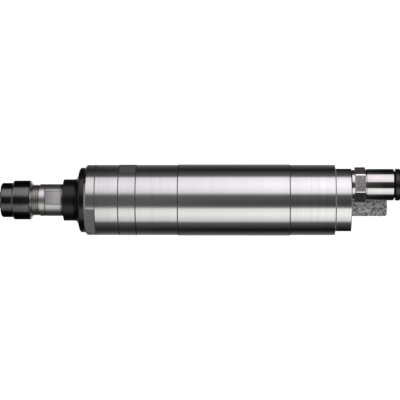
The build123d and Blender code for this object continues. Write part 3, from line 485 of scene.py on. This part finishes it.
# Stations along the axis
thread_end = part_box("spindle_shaft")[0].x + THREAD_LENGTH
nose_groove = thread_end + NOSE_RING
nut_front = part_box("collet_nut")[0].x
nut_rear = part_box("collet_nut")[1].x
nut_step = nut_front + sum(NUT_STEP) / 2
rear_tube_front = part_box("rear_tube")[0].x
rear_tube_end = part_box("rear_tube")[1].x
rear_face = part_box("rear_cap")[1].x
flange_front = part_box("boot_flange")[0].x
joints = [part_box(name)[0].x for name in ("front_cap", "front_tube", "main_tube", "rear_tube")]
joints.append(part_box("front_cap")[1].x)
hexagon = [rear_face + reach for reach in HEXAGON]
fitting_centre = node_box("fitting_body")[2]

# Milled flats: two stations and the turned radius
ring_flats = (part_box("clamp_ring")[0].x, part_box("front_tube")[0].x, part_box("front_cap")[1].z)
cap_flats = (rear_tube_end, rear_face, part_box("rear_cap")[1].y)
nose_flats = (nose_groove, flange_front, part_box("spindle_shaft")[1].z)

# Rings: stations, reach, shade and roughness
# Painted shade in the housing's joints between its parts, paler and rougher at the rear tube's end
housing_painted_shade_rings = [(joints, JOINT_BREAK, 0.45, 0.6), ([rear_tube_end], JOINT_BREAK, 0.85, 0.95)]
# Painted highlights on the nut's step and rear chamfer, and a darker line just before the chamfer
nut_painted_light_rings = [
    ([nut_step], (NUT_STEP[1] - NUT_STEP[0]) / 2, 2.9, 0.25),
    ([nut_rear - NUT_CHAMFER / 2], NUT_CHAMFER / 2, 4.0, 0.25),
    ([nut_rear - NUT_CHAMFER - NUT_EDGE], NUT_EDGE, 0.35, 0.25),
]

materials = {
    "housing_steel": turned_steel(
        "housing_steel", tone=0.64, roughness=0.19, streak=0.07, round_blur=0.75,
        flats=[ring_flats, cap_flats], rings=housing_painted_shade_rings, ground=rear_tube_front,
    ),
    "spindle_steel": threaded_steel(
        "spindle_steel", thread_x=thread_end, flats=nose_flats, lip=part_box("boot_collar")[0].x
    ),
    "black_oxide": turned_steel(
        "black_oxide", tone=0.17, roughness=0.18, streak=0.2, round_blur=0.6, rings=nut_painted_light_rings
    ),
    "boot_rubber": moulded("boot_rubber", tone=0.0008, roughness=0.33, glossy_from=flange_front),
    "seal_rubber": moulded("seal_rubber", tone=0.006, roughness=0.5),
    "piston_plastic": moulded("piston_plastic", tone=0.5, roughness=0.4),
    "nickel": plated(
        "nickel", (0.575, 0.56, 0.555), roughness=0.07, hexagon=hexagon,
        axis=(fitting_centre.y, fitting_centre.z), corner=HEXAGON_CORNER,
    ),
    "black_plastic": moulded("black_plastic", tone=0.004, roughness=0.25),
    "sintered_metal": sintered("sintered_metal"),
    "brass": plain_metal("brass", (0.68, 0.50, 0.24), roughness=0.28),
    "bearing_steel": plain_metal("bearing_steel", (0.62, 0.62, 0.64), roughness=0.14),
    "cage_brass": plain_metal("cage_brass", (0.70, 0.52, 0.26), roughness=0.3),
    "aluminium": plain_metal("aluminium", (0.72, 0.73, 0.74), roughness=0.32),
    "cast_motor": plain_metal("cast_motor", (0.30, 0.30, 0.31), roughness=0.38),
    "vane_laminate": laminate("vane_laminate"),
}


def paint_nodes():
    """Gives each CAD node the procedural finish of its slot."""
    for part in frame["record"]["subparts"]:
        node = bpy.data.objects[part["node"]]
        for slot in node.material_slots:
            slot.material = materials[part["material_slot"]]


paint_nodes()


# Pieces that replace CAD nodes


# Corners this close are one corner, and cuts this close to a corner go through it
JOINED_CORNERS = 0.002 * MM
CUT_AT_CORNER = 0.0005 * MM


def node_bmesh(name):
    """A working copy of a CAD node's mesh, with its doubled corners joined."""
    work = bmesh.new()
    work.from_mesh(bpy.data.objects[name].data)
    bmesh.ops.remove_doubles(work, verts=work.verts, dist=JOINED_CORNERS)
    return work


def to_mesh(work, name):
    bmesh.ops.recalc_face_normals(work, faces=work.faces)
    mesh = bpy.data.meshes.new(name)
    work.to_mesh(mesh)
    work.free()
    for attribute in [a for a in mesh.attributes if a.name == "custom_normal"]:
        mesh.attributes.remove(attribute)
    return mesh


def finish_piece(work, name, slot, body, nodes, angle=32.0):
    """Turns a working mesh into a piece, smooth up to an angle, that stands for its CAD nodes."""
    mesh = to_mesh(work, name)
    mesh.materials.append(materials[slot])
    mesh.shade_smooth()
    mesh.set_sharp_from_angle(angle=math.radians(angle))
    piece = new_object(name, mesh)
    if body:
        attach(piece, body)
    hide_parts(*nodes)
    return piece


def cut_across(work, x, **cleared):
    """Cuts the mesh across the axis, and clears a side if asked to."""
    everything = work.verts[:] + work.edges[:] + work.faces[:]
    return bmesh.ops.bisect_plane(
        work, geom=everything, plane_co=(x, 0, 0), plane_no=(1, 0, 0), dist=CUT_AT_CORNER, **cleared
    )


def half_kept(work, x, keep_rear):
    """Keeps one side of a plane across the axis and closes the cut."""
    cut = cut_across(work, x, clear_inner=keep_rear, clear_outer=not keep_rear)
    rim = [e for e in cut["geom_cut"] if isinstance(e, bmesh.types.BMEdge)]
    bmesh.ops.triangle_fill(work, edges=rim, use_beauty=True, use_dissolve=False)


def evenly(start, end, count):
    """A count of places between start and end, without the two."""
    return [start + (end - start) * (i + 1) / (count + 1) for i in range(count)]


def bored(work, least):
    """Widens the bore about the axis to the least radius of each station."""
    for vert in work.verts:
        radius = math.hypot(vert.co.y, vert.co.z)
        wanted = least(vert.co.x)
        if radius < wanted:
            vert.co.y *= wanted / radius
            vert.co.z *= wanted / radius


# The boot's web bends in two steps. Behind its front end, the nose carries it as far as held, its
# halves meet at split, and the housing carries it from fixed on.
WEB_HELD = 1.2 * MM
WEB_SPLIT = 2.35 * MM
WEB_FIXED = 4.0 * MM

# How many cuts let the inner and the outer half bend
INNER_CUTS = 9
OUTER_CUTS = 7

# How far the nose swings to a side inside the web, and the room that it has left then
NOSE_SWING = 2.65 * MM
NOSE_ROOM = 0.08 * MM


def left_behind(x, start, end):
    t = min(1.0, max(0.0, (x - start) / (end - start)))
    return 1 - t * t * (3 - 2 * t)


def web_half(name, split, keep_rear, places, least):
    """One half of the web, cut at places so that it can bend, and bored for the nose's swing."""
    work = node_bmesh("boot_web")
    half_kept(work, split, keep_rear)
    for x in places:
        cut_across(work, x)
    bored(work, least)
    return finish_piece(work, name, "boot_rubber", None, ["boot_web"])


def boot():
    """The rubber boot: its collar follows the nose, its web bends across both swings."""
    web_low, web_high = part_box("boot_web")
    front, rear = web_low.x, web_high.x
    held, split, fixed = front + WEB_HELD, front + WEB_SPLIT, front + WEB_FIXED
    corners = bpy.data.objects["boot_web"].data.vertices
    grip = min(math.hypot(vert.co.y, vert.co.z) for vert in corners)
    way = NOSE_SWING + NOSE_ROOM

    def inner_bore(x):
        return grip + way * left_behind(x, split, held)

    def outer_bore(x):
        return grip + way * math.hypot(1, left_behind(x, fixed, split))

    collar = node_bmesh("boot_collar")
    finish_piece(collar, "boot_collar_rubber", "boot_rubber", "motor_cartridge", ["boot_collar"])
    inner_places = evenly(front, split, INNER_CUTS)
    inner = web_half("boot_web_inner", split, False, inner_places, inner_bore)
    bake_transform(inner, "cardan_ring", "motor_cartridge", start=(split, 0, 0), end=(held, 0, 0))
    outer_places = evenly(split, rear, OUTER_CUTS)
    outer = web_half("boot_web_outer", split, True, outer_places, outer_bore)
    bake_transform(outer, "housing", "cardan_ring", start=(fixed, 0, 0), end=(split, 0, 0))
    flange = node_bmesh("boot_flange")
    finish_piece(flange, "boot_flange_rubber", "boot_rubber", "housing", ["boot_flange"])


# The thread on the spindle's nose, the facets to a turn, and how far its cutter starts before it
# and ends short of its end
THREAD_PITCH = 1.0 * MM
THREAD_RADIUS = 9.25 * MM
THREAD_DEPTH = 0.6 * MM
THREAD_FLANK = math.radians(30)
THREAD_FACETS = 72
THREAD_LEAD_IN = 1.0 * MM
THREAD_RUN_OUT = 0.35 * MM

# How far the thread's cutter stands out of the nose
CUTTER_OVER = 0.3 * MM

# Corners nearer than these are joined after the cut, in two passes
SLIVER_REACHES = (0.001 * MM, 0.003 * MM)


def thread_cutter(start, end):
    """A V-shaped bar wound into a right-hand helix, which leaves the thread's crests standing."""
    work = bmesh.new()
    outer = THREAD_RADIUS + CUTTER_OVER
    half_width = (THREAD_DEPTH + CUTTER_OVER) * math.tan(THREAD_FLANK)
    profile = ((-half_width, outer), (0, THREAD_RADIUS - THREAD_DEPTH), (half_width, outer))
    rows = []
    for step in range(int((end - start) / THREAD_PITCH * THREAD_FACETS) + 1):
        a = math.tau * step / THREAD_FACETS
        x = start + THREAD_PITCH * step / THREAD_FACETS
        corners = [(x + dx, r * math.sin(a), r * math.cos(a)) for dx, r in profile]
        rows.append([work.verts.new(corner) for corner in corners])
    for row, following in zip(rows, rows[1:]):
        for i in range(3):
            j = (i + 1) % 3
            work.faces.new((row[i], row[j], following[j], following[i]))
    work.faces.new(rows[0])
    work.faces.new(reversed(rows[-1]))
    return new_object("thread_cutter", to_mesh(work, "thread_cutter"))


def without_slivers(work):
    """Joins corners that a cut left side by side, and drops the flat pairs of faces between."""
    bmesh.ops.triangulate(work, faces=work.faces)
    for reach in SLIVER_REACHES:
        bmesh.ops.remove_doubles(work, verts=work.verts, dist=reach)
        bmesh.ops.dissolve_degenerate(work, edges=work.edges, dist=reach)
        bmesh.ops.triangulate(work, faces=work.faces)
    work.verts.index_update()
    seen = {}
    for face in work.faces:
        seen.setdefault(frozenset(vert.index for vert in face.verts), []).append(face)
    doubled = [face for faces in seen.values() if len(faces) > 1 for face in faces]
    bmesh.ops.delete(work, geom=doubled, context="FACES")


def threaded_spindle():
    """The spindle with its real screw thread, cut from a copy of the CAD shaft."""
    blank = new_object("spindle_blank", to_mesh(node_bmesh("spindle_shaft"), "spindle_blank"))
    thread_start = thread_end - THREAD_LENGTH
    cutter = thread_cutter(thread_start - THREAD_LEAD_IN, thread_end - THREAD_RUN_OUT)
    cut = blank.modifiers.new("thread", "BOOLEAN")
    cut.object = cutter
    cut.operation = "DIFFERENCE"
    cut.solver = "EXACT"
    bpy.context.view_layer.update()
    result = blank.evaluated_get(bpy.context.evaluated_depsgraph_get())
    work = bmesh.new()
    work.from_mesh(bpy.data.meshes.new_from_object(result))
    without_slivers(work)
    bpy.data.objects.remove(blank)
    bpy.data.objects.remove(cutter)
    finish_piece(
        work, "spindle_threaded", "spindle_steel", "spindle", ["spindle_shaft"], angle=18.0
    )


def lathed(profile, centre, segments, dent=None):
    """A closed profile of (x, radius) turned about an axis along X. Dent moves a point of it."""
    work = bmesh.new()
    rings = []
    for x, r in profile:
        if r == 0:
            rings.append([work.verts.new((x, centre[0], centre[1]))])
            continue
        ring = []
        for k in range(segments):
            a = math.tau * k / segments
            point = Vector((x, centre[0] + r * math.cos(a), centre[1] + r * math.sin(a)))
            if dent:
                point = dent(point, x, r)
            ring.append(work.verts.new(point))
        rings.append(ring)
    for first, second in zip(rings, rings[1:] + rings[:1]):
        if len(first) == len(second) == 1:
            continue
        for k in range(segments):
            n = (k + 1) % segments
            if len(first) == 1:
                corners = (first[0], second[n], second[k])
            elif len(second) == 1:
                corners = (first[k], first[n], second[0])
            else:
                corners = (first[k], first[n], second[n], second[k])
            work.faces.new(corners)
    return work


def stepped(points, step):
    """Adds points so that no run of the profile is longer than a step."""
    out = []
    for (x0, r0), (x1, r1) in zip(points, points[1:]):
        count = max(1, math.ceil(math.hypot(x1 - x0, r1 - r0) / step))
        out += [(x0 + (x1 - x0) * i / count, r0 + (r1 - r0) * i / count) for i in range(count)]
    return out + [points[-1]]


# The silencer's cup: its wall, its chamfer, and the length and number of its facets
SILENCER_WALL = 3.4 * MM
SILENCER_CHAMFER = 0.7 * MM
SILENCER_STEP = 0.28 * MM
SILENCER_SEGMENTS = 168

# Its skin: the size of a grain; a pore's depth, steepness and lean along the axis at the end face;
# a finer roughness; and how far from the bore the skin begins
GRAIN = 1.1 * MM
PORE_DEPTH = 0.38 * MM
PORE_EDGE = 2.6
PORE_LEAN = 1.5
FINE_GRAIN = 0.35 * MM
FINE_DEPTH = 0.05 * MM
FINE_FRACTAL = (0.8, 2.0, 3)
BORE_MARGIN = 0.4 * MM


def silencer():
    """Sintered silencer: a cup of pressed grains, with pores pitted into its skin."""
    low, high, middle = node_box("silencer_body")
    centre = (middle.y, middle.z)
    radius = (high.z - low.z) / 2
    bore = radius - SILENCER_WALL
    chamfer_x = high.x - SILENCER_CHAMFER
    floor_x = high.x - SILENCER_WALL

    def dent(point, x, r):
        if r < bore + BORE_MARGIN and x < high.x - SILENCER_WALL / 2:
            return point
        nearest, second = noise.voronoi(point / GRAIN)[0][:2]
        edge = min(1.0, (second - nearest) * PORE_EDGE)
        rough = noise.fractal(point / FINE_GRAIN, *FINE_FRACTAL)
        depth = PORE_DEPTH * (1 - edge) + FINE_DEPTH * (1 + rough)
        inward = Vector((0, centre[0] - point.y, centre[1] - point.z)).normalized()
        if x > chamfer_x:
            inward = (inward + Vector((-PORE_LEAN, 0, 0))).normalized()
        return point + inward * max(0.0, depth)

    corners = [
        (low.x, bore),
        (low.x, radius),
        (chamfer_x, radius),
        (high.x, radius - SILENCER_CHAMFER),
        (high.x, 0),
    ]
    profile = stepped(corners, SILENCER_STEP) + [(floor_x, 0), (floor_x, bore)]
    work = lathed(profile, centre, SILENCER_SEGMENTS, dent)
    finish_piece(
        work, "silencer_grains", "sintered_metal", "housing", ["silencer_body"], angle=70.0
    )


# The washer under the fitting: its bore, how far it bulges, and the steps of the bulge
WASHER_BORE = 5.1 * MM
WASHER_BULGE = 0.25 * MM
WASHER_STEPS = 8
WASHER_SEGMENTS = 96


def sealing_washer():
    """Rubber washer under the fitting, bulged a little where it is pressed."""
    low, high, middle = node_box("fitting_seal")
    radius = (high.z - low.z) / 2
    profile = [(low.x, WASHER_BORE)]
    for i in range(WASHER_STEPS + 1):
        a = math.pi * i / WASHER_STEPS
        x = middle.x - math.cos(a) * (high.x - low.x) / 2
        profile.append((x, radius - WASHER_BULGE + WASHER_BULGE * math.sin(a)))
    profile.append((high.x, WASHER_BORE))
    work = lathed(profile, (middle.y, middle.z), WASHER_SEGMENTS)
    finish_piece(work, "fitting_seal_ring", "seal_rubber", "housing", ["fitting_seal"])


boot()
threaded_spindle()
silencer()
sealing_washer()


# Stage: floor, backdrop, two softboxes, and the cards that the steel reflects


# Tints of the light
PINK = (1.0, 0.95, 0.995)
GREEN = (0.99, 1.0, 0.975)
COOL = (0.96, 0.95, 1.0)
PLAIN = (1.0, 1.0, 1.0)

# The even light of the world
AMBIENT = 0.28

# The softboxes stand this far from the axis
LAMP_DISTANCE = 0.6

# The floor: its height, its half width, the radius and steps of its bend, and the backdrop's rise
FLOOR_HEIGHT = -0.3
FLOOR_SIZE = 4.0
FLOOR_BEND = 1.0
FLOOR_BEND_STEPS = 16
FLOOR_RISE = 4.0

# The floor's two tones of paper, and how it glows where it is seen: near the object and far away
FLOOR_TONES = (0.42, 0.44)
FLOOR_GLOW = (0.62, 1.0)
FLOOR_GLOW_REACH = (0.7, 1.4)

# The card: a tube round the axis, closed by a disc at each end
CARD_RADIUS = 0.75
CARD_LENGTH = 3.0
CARD_STEPS = 72
END_SIDES = 24

# The card's stops: angle, brightness and tint. 0 degrees is towards the camera and 90 is up.
CARD_STOPS = [
    (-180, 1.0, PLAIN),
    (-165, 0.8, PLAIN),
    (-159, 0.21, PLAIN),
    (-152, 0.19, PLAIN),
    (-138, 0.12, PLAIN),
    (-125, 0.04, PLAIN),
    (-112, 0.003, PLAIN),
    (-98, 0.04, PLAIN),
    (-78, 0.14, PLAIN),
    (-70, 0.85, GREEN),
    (-48, 1.26, GREEN),
    (-28.5, 1.14, GREEN),
    (-24.5, 0.30, GREEN),
    (-19, 0.09, PLAIN),
    (-8, 0.08, PLAIN),
    (15, 0.16, COOL),
    (24, 1.14, PINK),
    (50, 1.45, PINK),
    (75.5, 1.22, PINK),
    (81.5, 0.18, COOL),
    (97, 0.08, COOL),
    (112, 0.012, COOL),
    (124, 0.045, PLAIN),
    (138, 0.11, PLAIN),
    (152, 0.20, PLAIN),
    (159, 0.22, PLAIN),
    (165, 0.8, PLAIN),
    (180, 1.0, PLAIN),
]

# Stations of the card, in metres. The camera sees a spot of the object at X reflect the card near
# 1.7 X, so each is named after the part of the object that reflects it.
CARD_NUT = -0.2275
CARD_NUT_REAR = -0.212
CARD_NOSE = (-0.225, -0.168)
CARD_BOOT = (-0.159, -0.153)
CARD_FRONT = (-0.13, -0.05)
CARD_REAR_CAP = (0.08, 0.11)
CARD_FITTING = (0.115, 0.145)
CARD_WHOLE = (-0.28, 0.08)

# A faint haze on the card, between the boot and the front of the housing
HAZE = 0.045


def strip_place(angle, distance, x=0.0):
    """A point round the spindle axis: 0 degrees is towards the camera, 90 is up."""
    a = math.radians(angle)
    return Vector((x, -distance * math.cos(a), distance * math.sin(a)))


def strip_lamp(name, start, end, length, x, radiance, colour):
    """An area lamp that fills the angles from start to end, seen from the spindle axis."""
    middle = (start + end) / 2
    width = 2 * LAMP_DISTANCE * math.tan(math.radians(end - start) / 2)
    lamp = bpy.data.lights.new(name, "AREA")
    lamp.shape = "RECTANGLE"
    lamp.size, lamp.size_y = length, width
    lamp.energy = radiance * math.pi * length * width
    lamp.color = colour
    obj = new_object(name, lamp)
    obj.visible_glossy = False
    inward = -strip_place(middle, 1.0)
    upward = strip_place(middle + 90, 1.0)
    side = upward.cross(-inward)
    turned = Matrix((side, upward, -inward)).transposed().to_4x4()
    obj.matrix_world = Matrix.Translation(strip_place(middle, LAMP_DISTANCE, x)) @ turned


def only_reflected(card):
    """Hides a card from everything but reflections."""
    card.visible_camera = False
    card.visible_diffuse = False
    card.visible_shadow = False
    card.visible_transmission = False


def card_strength(s, bright, turn):
    """How strong the card is along the axis and round it, apart from its stops.

    Turn is the angle from the middle of the camera's side, without its sign."""
    edge_strength = 0.15
    place = s.coordinates()
    along = place["X"]
    above = s.math("GREATER_THAN", place["Z"], 0.0)
    at_front = s.mix(above, s.span(along, *CARD_FRONT, 1.3, 1.0), 1.0)
    at_front = s.product(s.span(along, *CARD_FRONT, 2.2, 1.0), at_front)
    at_front = s.mix(s.math("LESS_THAN", turn, 45.0), 1.0, at_front)
    at_fitting = s.span(along, *CARD_FITTING, 1.0, 0.25)
    before_boot = s.span(along, *CARD_BOOT, 0.22, 1.0)
    dark_bands = s.product(at_fitting, at_front, before_boot)
    dark_bands = s.mix(s.math("LESS_THAN", bright, 0.4), 1.0, dark_bands)
    before_nut_rear = s.math("LESS_THAN", along, CARD_NUT_REAR)
    at_nut_rear = s.product(before_nut_rear, s.math("GREATER_THAN", along, CARD_NUT))
    upper = s.span(along, *CARD_WHOLE, 0.62, 1.12)
    lower = s.product(
        s.span(along, *CARD_NOSE, 0.27, 1.0),
        s.span(along, *CARD_REAR_CAP, 1.0, 1.18),
        s.mix(at_nut_rear, 1.0, 0.6),
    )
    lower_edge = s.span(turn, 29.0, 39.0, edge_strength, 1.0)
    upper_edge = s.span(turn, 25.0, 33.0, edge_strength, 1.0)
    inner_edge = s.mix(above, lower_edge, upper_edge)
    outer_edge = s.span(turn, 62.0, 74.0, 1.0, edge_strength)
    narrower = s.product(
        s.mix(before_nut_rear, 1.0, inner_edge),
        s.mix(at_nut_rear, 1.0, outer_edge),
    )
    return s.product(s.mix(above, lower, upper), dark_bands, narrower)


def reflected_card():
    """A tube of light and dark bands round the object, which only reflections see."""
    start, end = CARD_STOPS[0][0], CARD_STOPS[-1][0]
    mesh = bpy.data.meshes.new("studio")
    points, shares, faces = [], [], []
    for step in range(CARD_STEPS + 1):
        share = step / CARD_STEPS
        point = strip_place(start + (end - start) * share, CARD_RADIUS)
        for x in (-CARD_LENGTH / 2, CARD_LENGTH / 2):
            points.append((x, point.y, point.z))
            shares.append(share)
        if step:
            faces.append((2 * step - 2, 2 * step - 1, 2 * step + 1, 2 * step))
    mesh.from_pydata(points, [], faces)
    mesh.attributes.new("share", "FLOAT", "POINT").data.foreach_set("value", shares)
    s = Shader("studio")
    share = s.add("ShaderNodeAttribute", attribute_name="share").outputs["Fac"]
    ramp = s.add("ShaderNodeValToRGB", {0: share})
    elements = ramp.color_ramp.elements
    while len(elements) < len(CARD_STOPS):
        elements.new(0.5)
    for element, (angle, value, tint) in zip(elements, CARD_STOPS):
        element.position = (angle - start) / (end - start)
        element.color = tuple(value * part for part in tint) + (1.0,)
    colour = ramp.outputs["Color"]
    bright = s.add("ShaderNodeSeparateColor", {"Color": colour}).outputs[1]
    turn = s.product(s.math("ABSOLUTE", s.math("SUBTRACT", share, 0.5)), end - start)
    glow = s.emission(card_strength(s, bright, turn), colour)
    along = s.coordinates()["X"]
    haze = s.product(s.span(along, *CARD_FRONT, HAZE, 0.0), s.span(along, *CARD_BOOT, 0.0, 1.0))
    mesh.materials.append(s.surface(glow, s.emission(haze)))
    only_reflected(new_object("studio", mesh))


def end_card(name, x, value):
    """A dim disc that closes one end of the card, a little darker towards its rim."""
    mesh = bpy.data.meshes.new(name)
    points = [strip_place(360 * k / END_SIDES, CARD_RADIUS, x) for k in range(END_SIDES)]
    mesh.from_pydata(points, [], [range(END_SIDES)])
    s = Shader(name)
    away = s.add("ShaderNodeVectorMath", {0: s.place()}, operation="LENGTH").outputs["Value"]
    shine = s.span(away, abs(x), math.hypot(x, CARD_RADIUS), value, value * 0.8)
    mesh.materials.append(s.surface(s.emission(shine)))
    only_reflected(new_object(name, mesh))


def seen_directly(s):
    """One for the rays that see the background itself: camera, glossy and transmission."""
    path = s.add("ShaderNodeLightPath").outputs
    seen = s.math("MAXIMUM", path["Is Camera Ray"], path["Is Glossy Ray"])
    return s.math("MAXIMUM", seen, path["Is Transmission Ray"])


def world():
    """White where it is seen, and a lower even light on everything."""
    studio = bpy.data.worlds.new("studio")
    bpy.context.scene.world = studio
    studio.use_nodes = True
    s = Nodes(studio.node_tree)
    strength = s.span(seen_directly(s), 0.0, 1.0, AMBIENT, 1.0)
    white = s.add("ShaderNodeBackground", {"Color": (1.0, 1.0, 1.0, 1.0), "Strength": strength})
    s.add("ShaderNodeOutputWorld", {"Surface": white.outputs[0]})


def floor():
    """A pale floor that curves up into the backdrop."""
    line = [(-FLOOR_SIZE, FLOOR_HEIGHT)]
    for step in range(FLOOR_BEND_STEPS + 1):
        a = math.pi / 2 * step / FLOOR_BEND_STEPS
        y = FLOOR_SIZE - FLOOR_BEND + FLOOR_BEND * math.sin(a)
        line.append((y, FLOOR_HEIGHT + FLOOR_BEND - FLOOR_BEND * math.cos(a)))
    line.append((FLOOR_SIZE, FLOOR_HEIGHT + FLOOR_RISE))
    points = [(x, y, z) for y, z in line for x in (-FLOOR_SIZE, FLOOR_SIZE)]
    faces = [(2 * i, 2 * i + 1, 2 * i + 3, 2 * i + 2) for i in range(len(line) - 1)]
    mesh = bpy.data.meshes.new("floor")
    mesh.from_pydata(points, [], faces)
    s = Shader("floor")
    grain = s.noise(s.stretched(60.0, 60.0), detail=2.0)
    tone = s.mix_colour(grain, grey(FLOOR_TONES[0]), grey(FLOOR_TONES[1]))
    paper = s.add("ShaderNodeBsdfDiffuse", {"Color": tone}).outputs[0]
    away = s.add("ShaderNodeVectorMath", {0: s.place()}, operation="LENGTH").outputs["Value"]
    shine = s.product(seen_directly(s), s.span(away, *FLOOR_GLOW_REACH, *FLOOR_GLOW))
    mesh.materials.append(s.surface(paper, s.emission(shine)))
    obj = new_object("floor", mesh)
    obj.visible_glossy = False
    obj.visible_shadow = False


def camera():
    """Level, on the photograph's side, a little right of the frame's middle that it looks at."""
    data = bpy.data.cameras.new("camera")
    data.sensor_width = SENSOR
    data.lens = SENSOR * CAMERA_DISTANCE / (FRAME_PIXELS * PIXEL)
    data.clip_start, data.clip_end = CAMERA_CLIP
    middle = FRAME_PIXELS / 2
    target = Vector(((middle - ORIGIN_PIXEL[0]) * PIXEL, 0.0, (ORIGIN_PIXEL[1] - middle) * PIXEL))
    place = Vector(((CAMERA_PIXEL_X - ORIGIN_PIXEL[0]) * PIXEL, -CAMERA_DISTANCE, target.z))
    obj = new_object("camera", data)
    obj.location = place
    obj.rotation_euler = (target - place).to_track_quat("-Z", "Y").to_euler()
    bpy.context.scene.camera = obj


camera()
world()
floor()
strip_lamp("upper_softbox", 21, 79, length=1.7, x=0.25, radiance=1.2, colour=PINK)
strip_lamp("lower_softbox", -76, -26, length=1.6, x=0.35, radiance=1.0, colour=GREEN)
reflected_card()
end_card("left_end", -CARD_LENGTH / 2, 0.32)
end_card("right_end", CARD_LENGTH / 2, 0.25)

bpy.context.scene.view_settings.view_transform = "Standard"
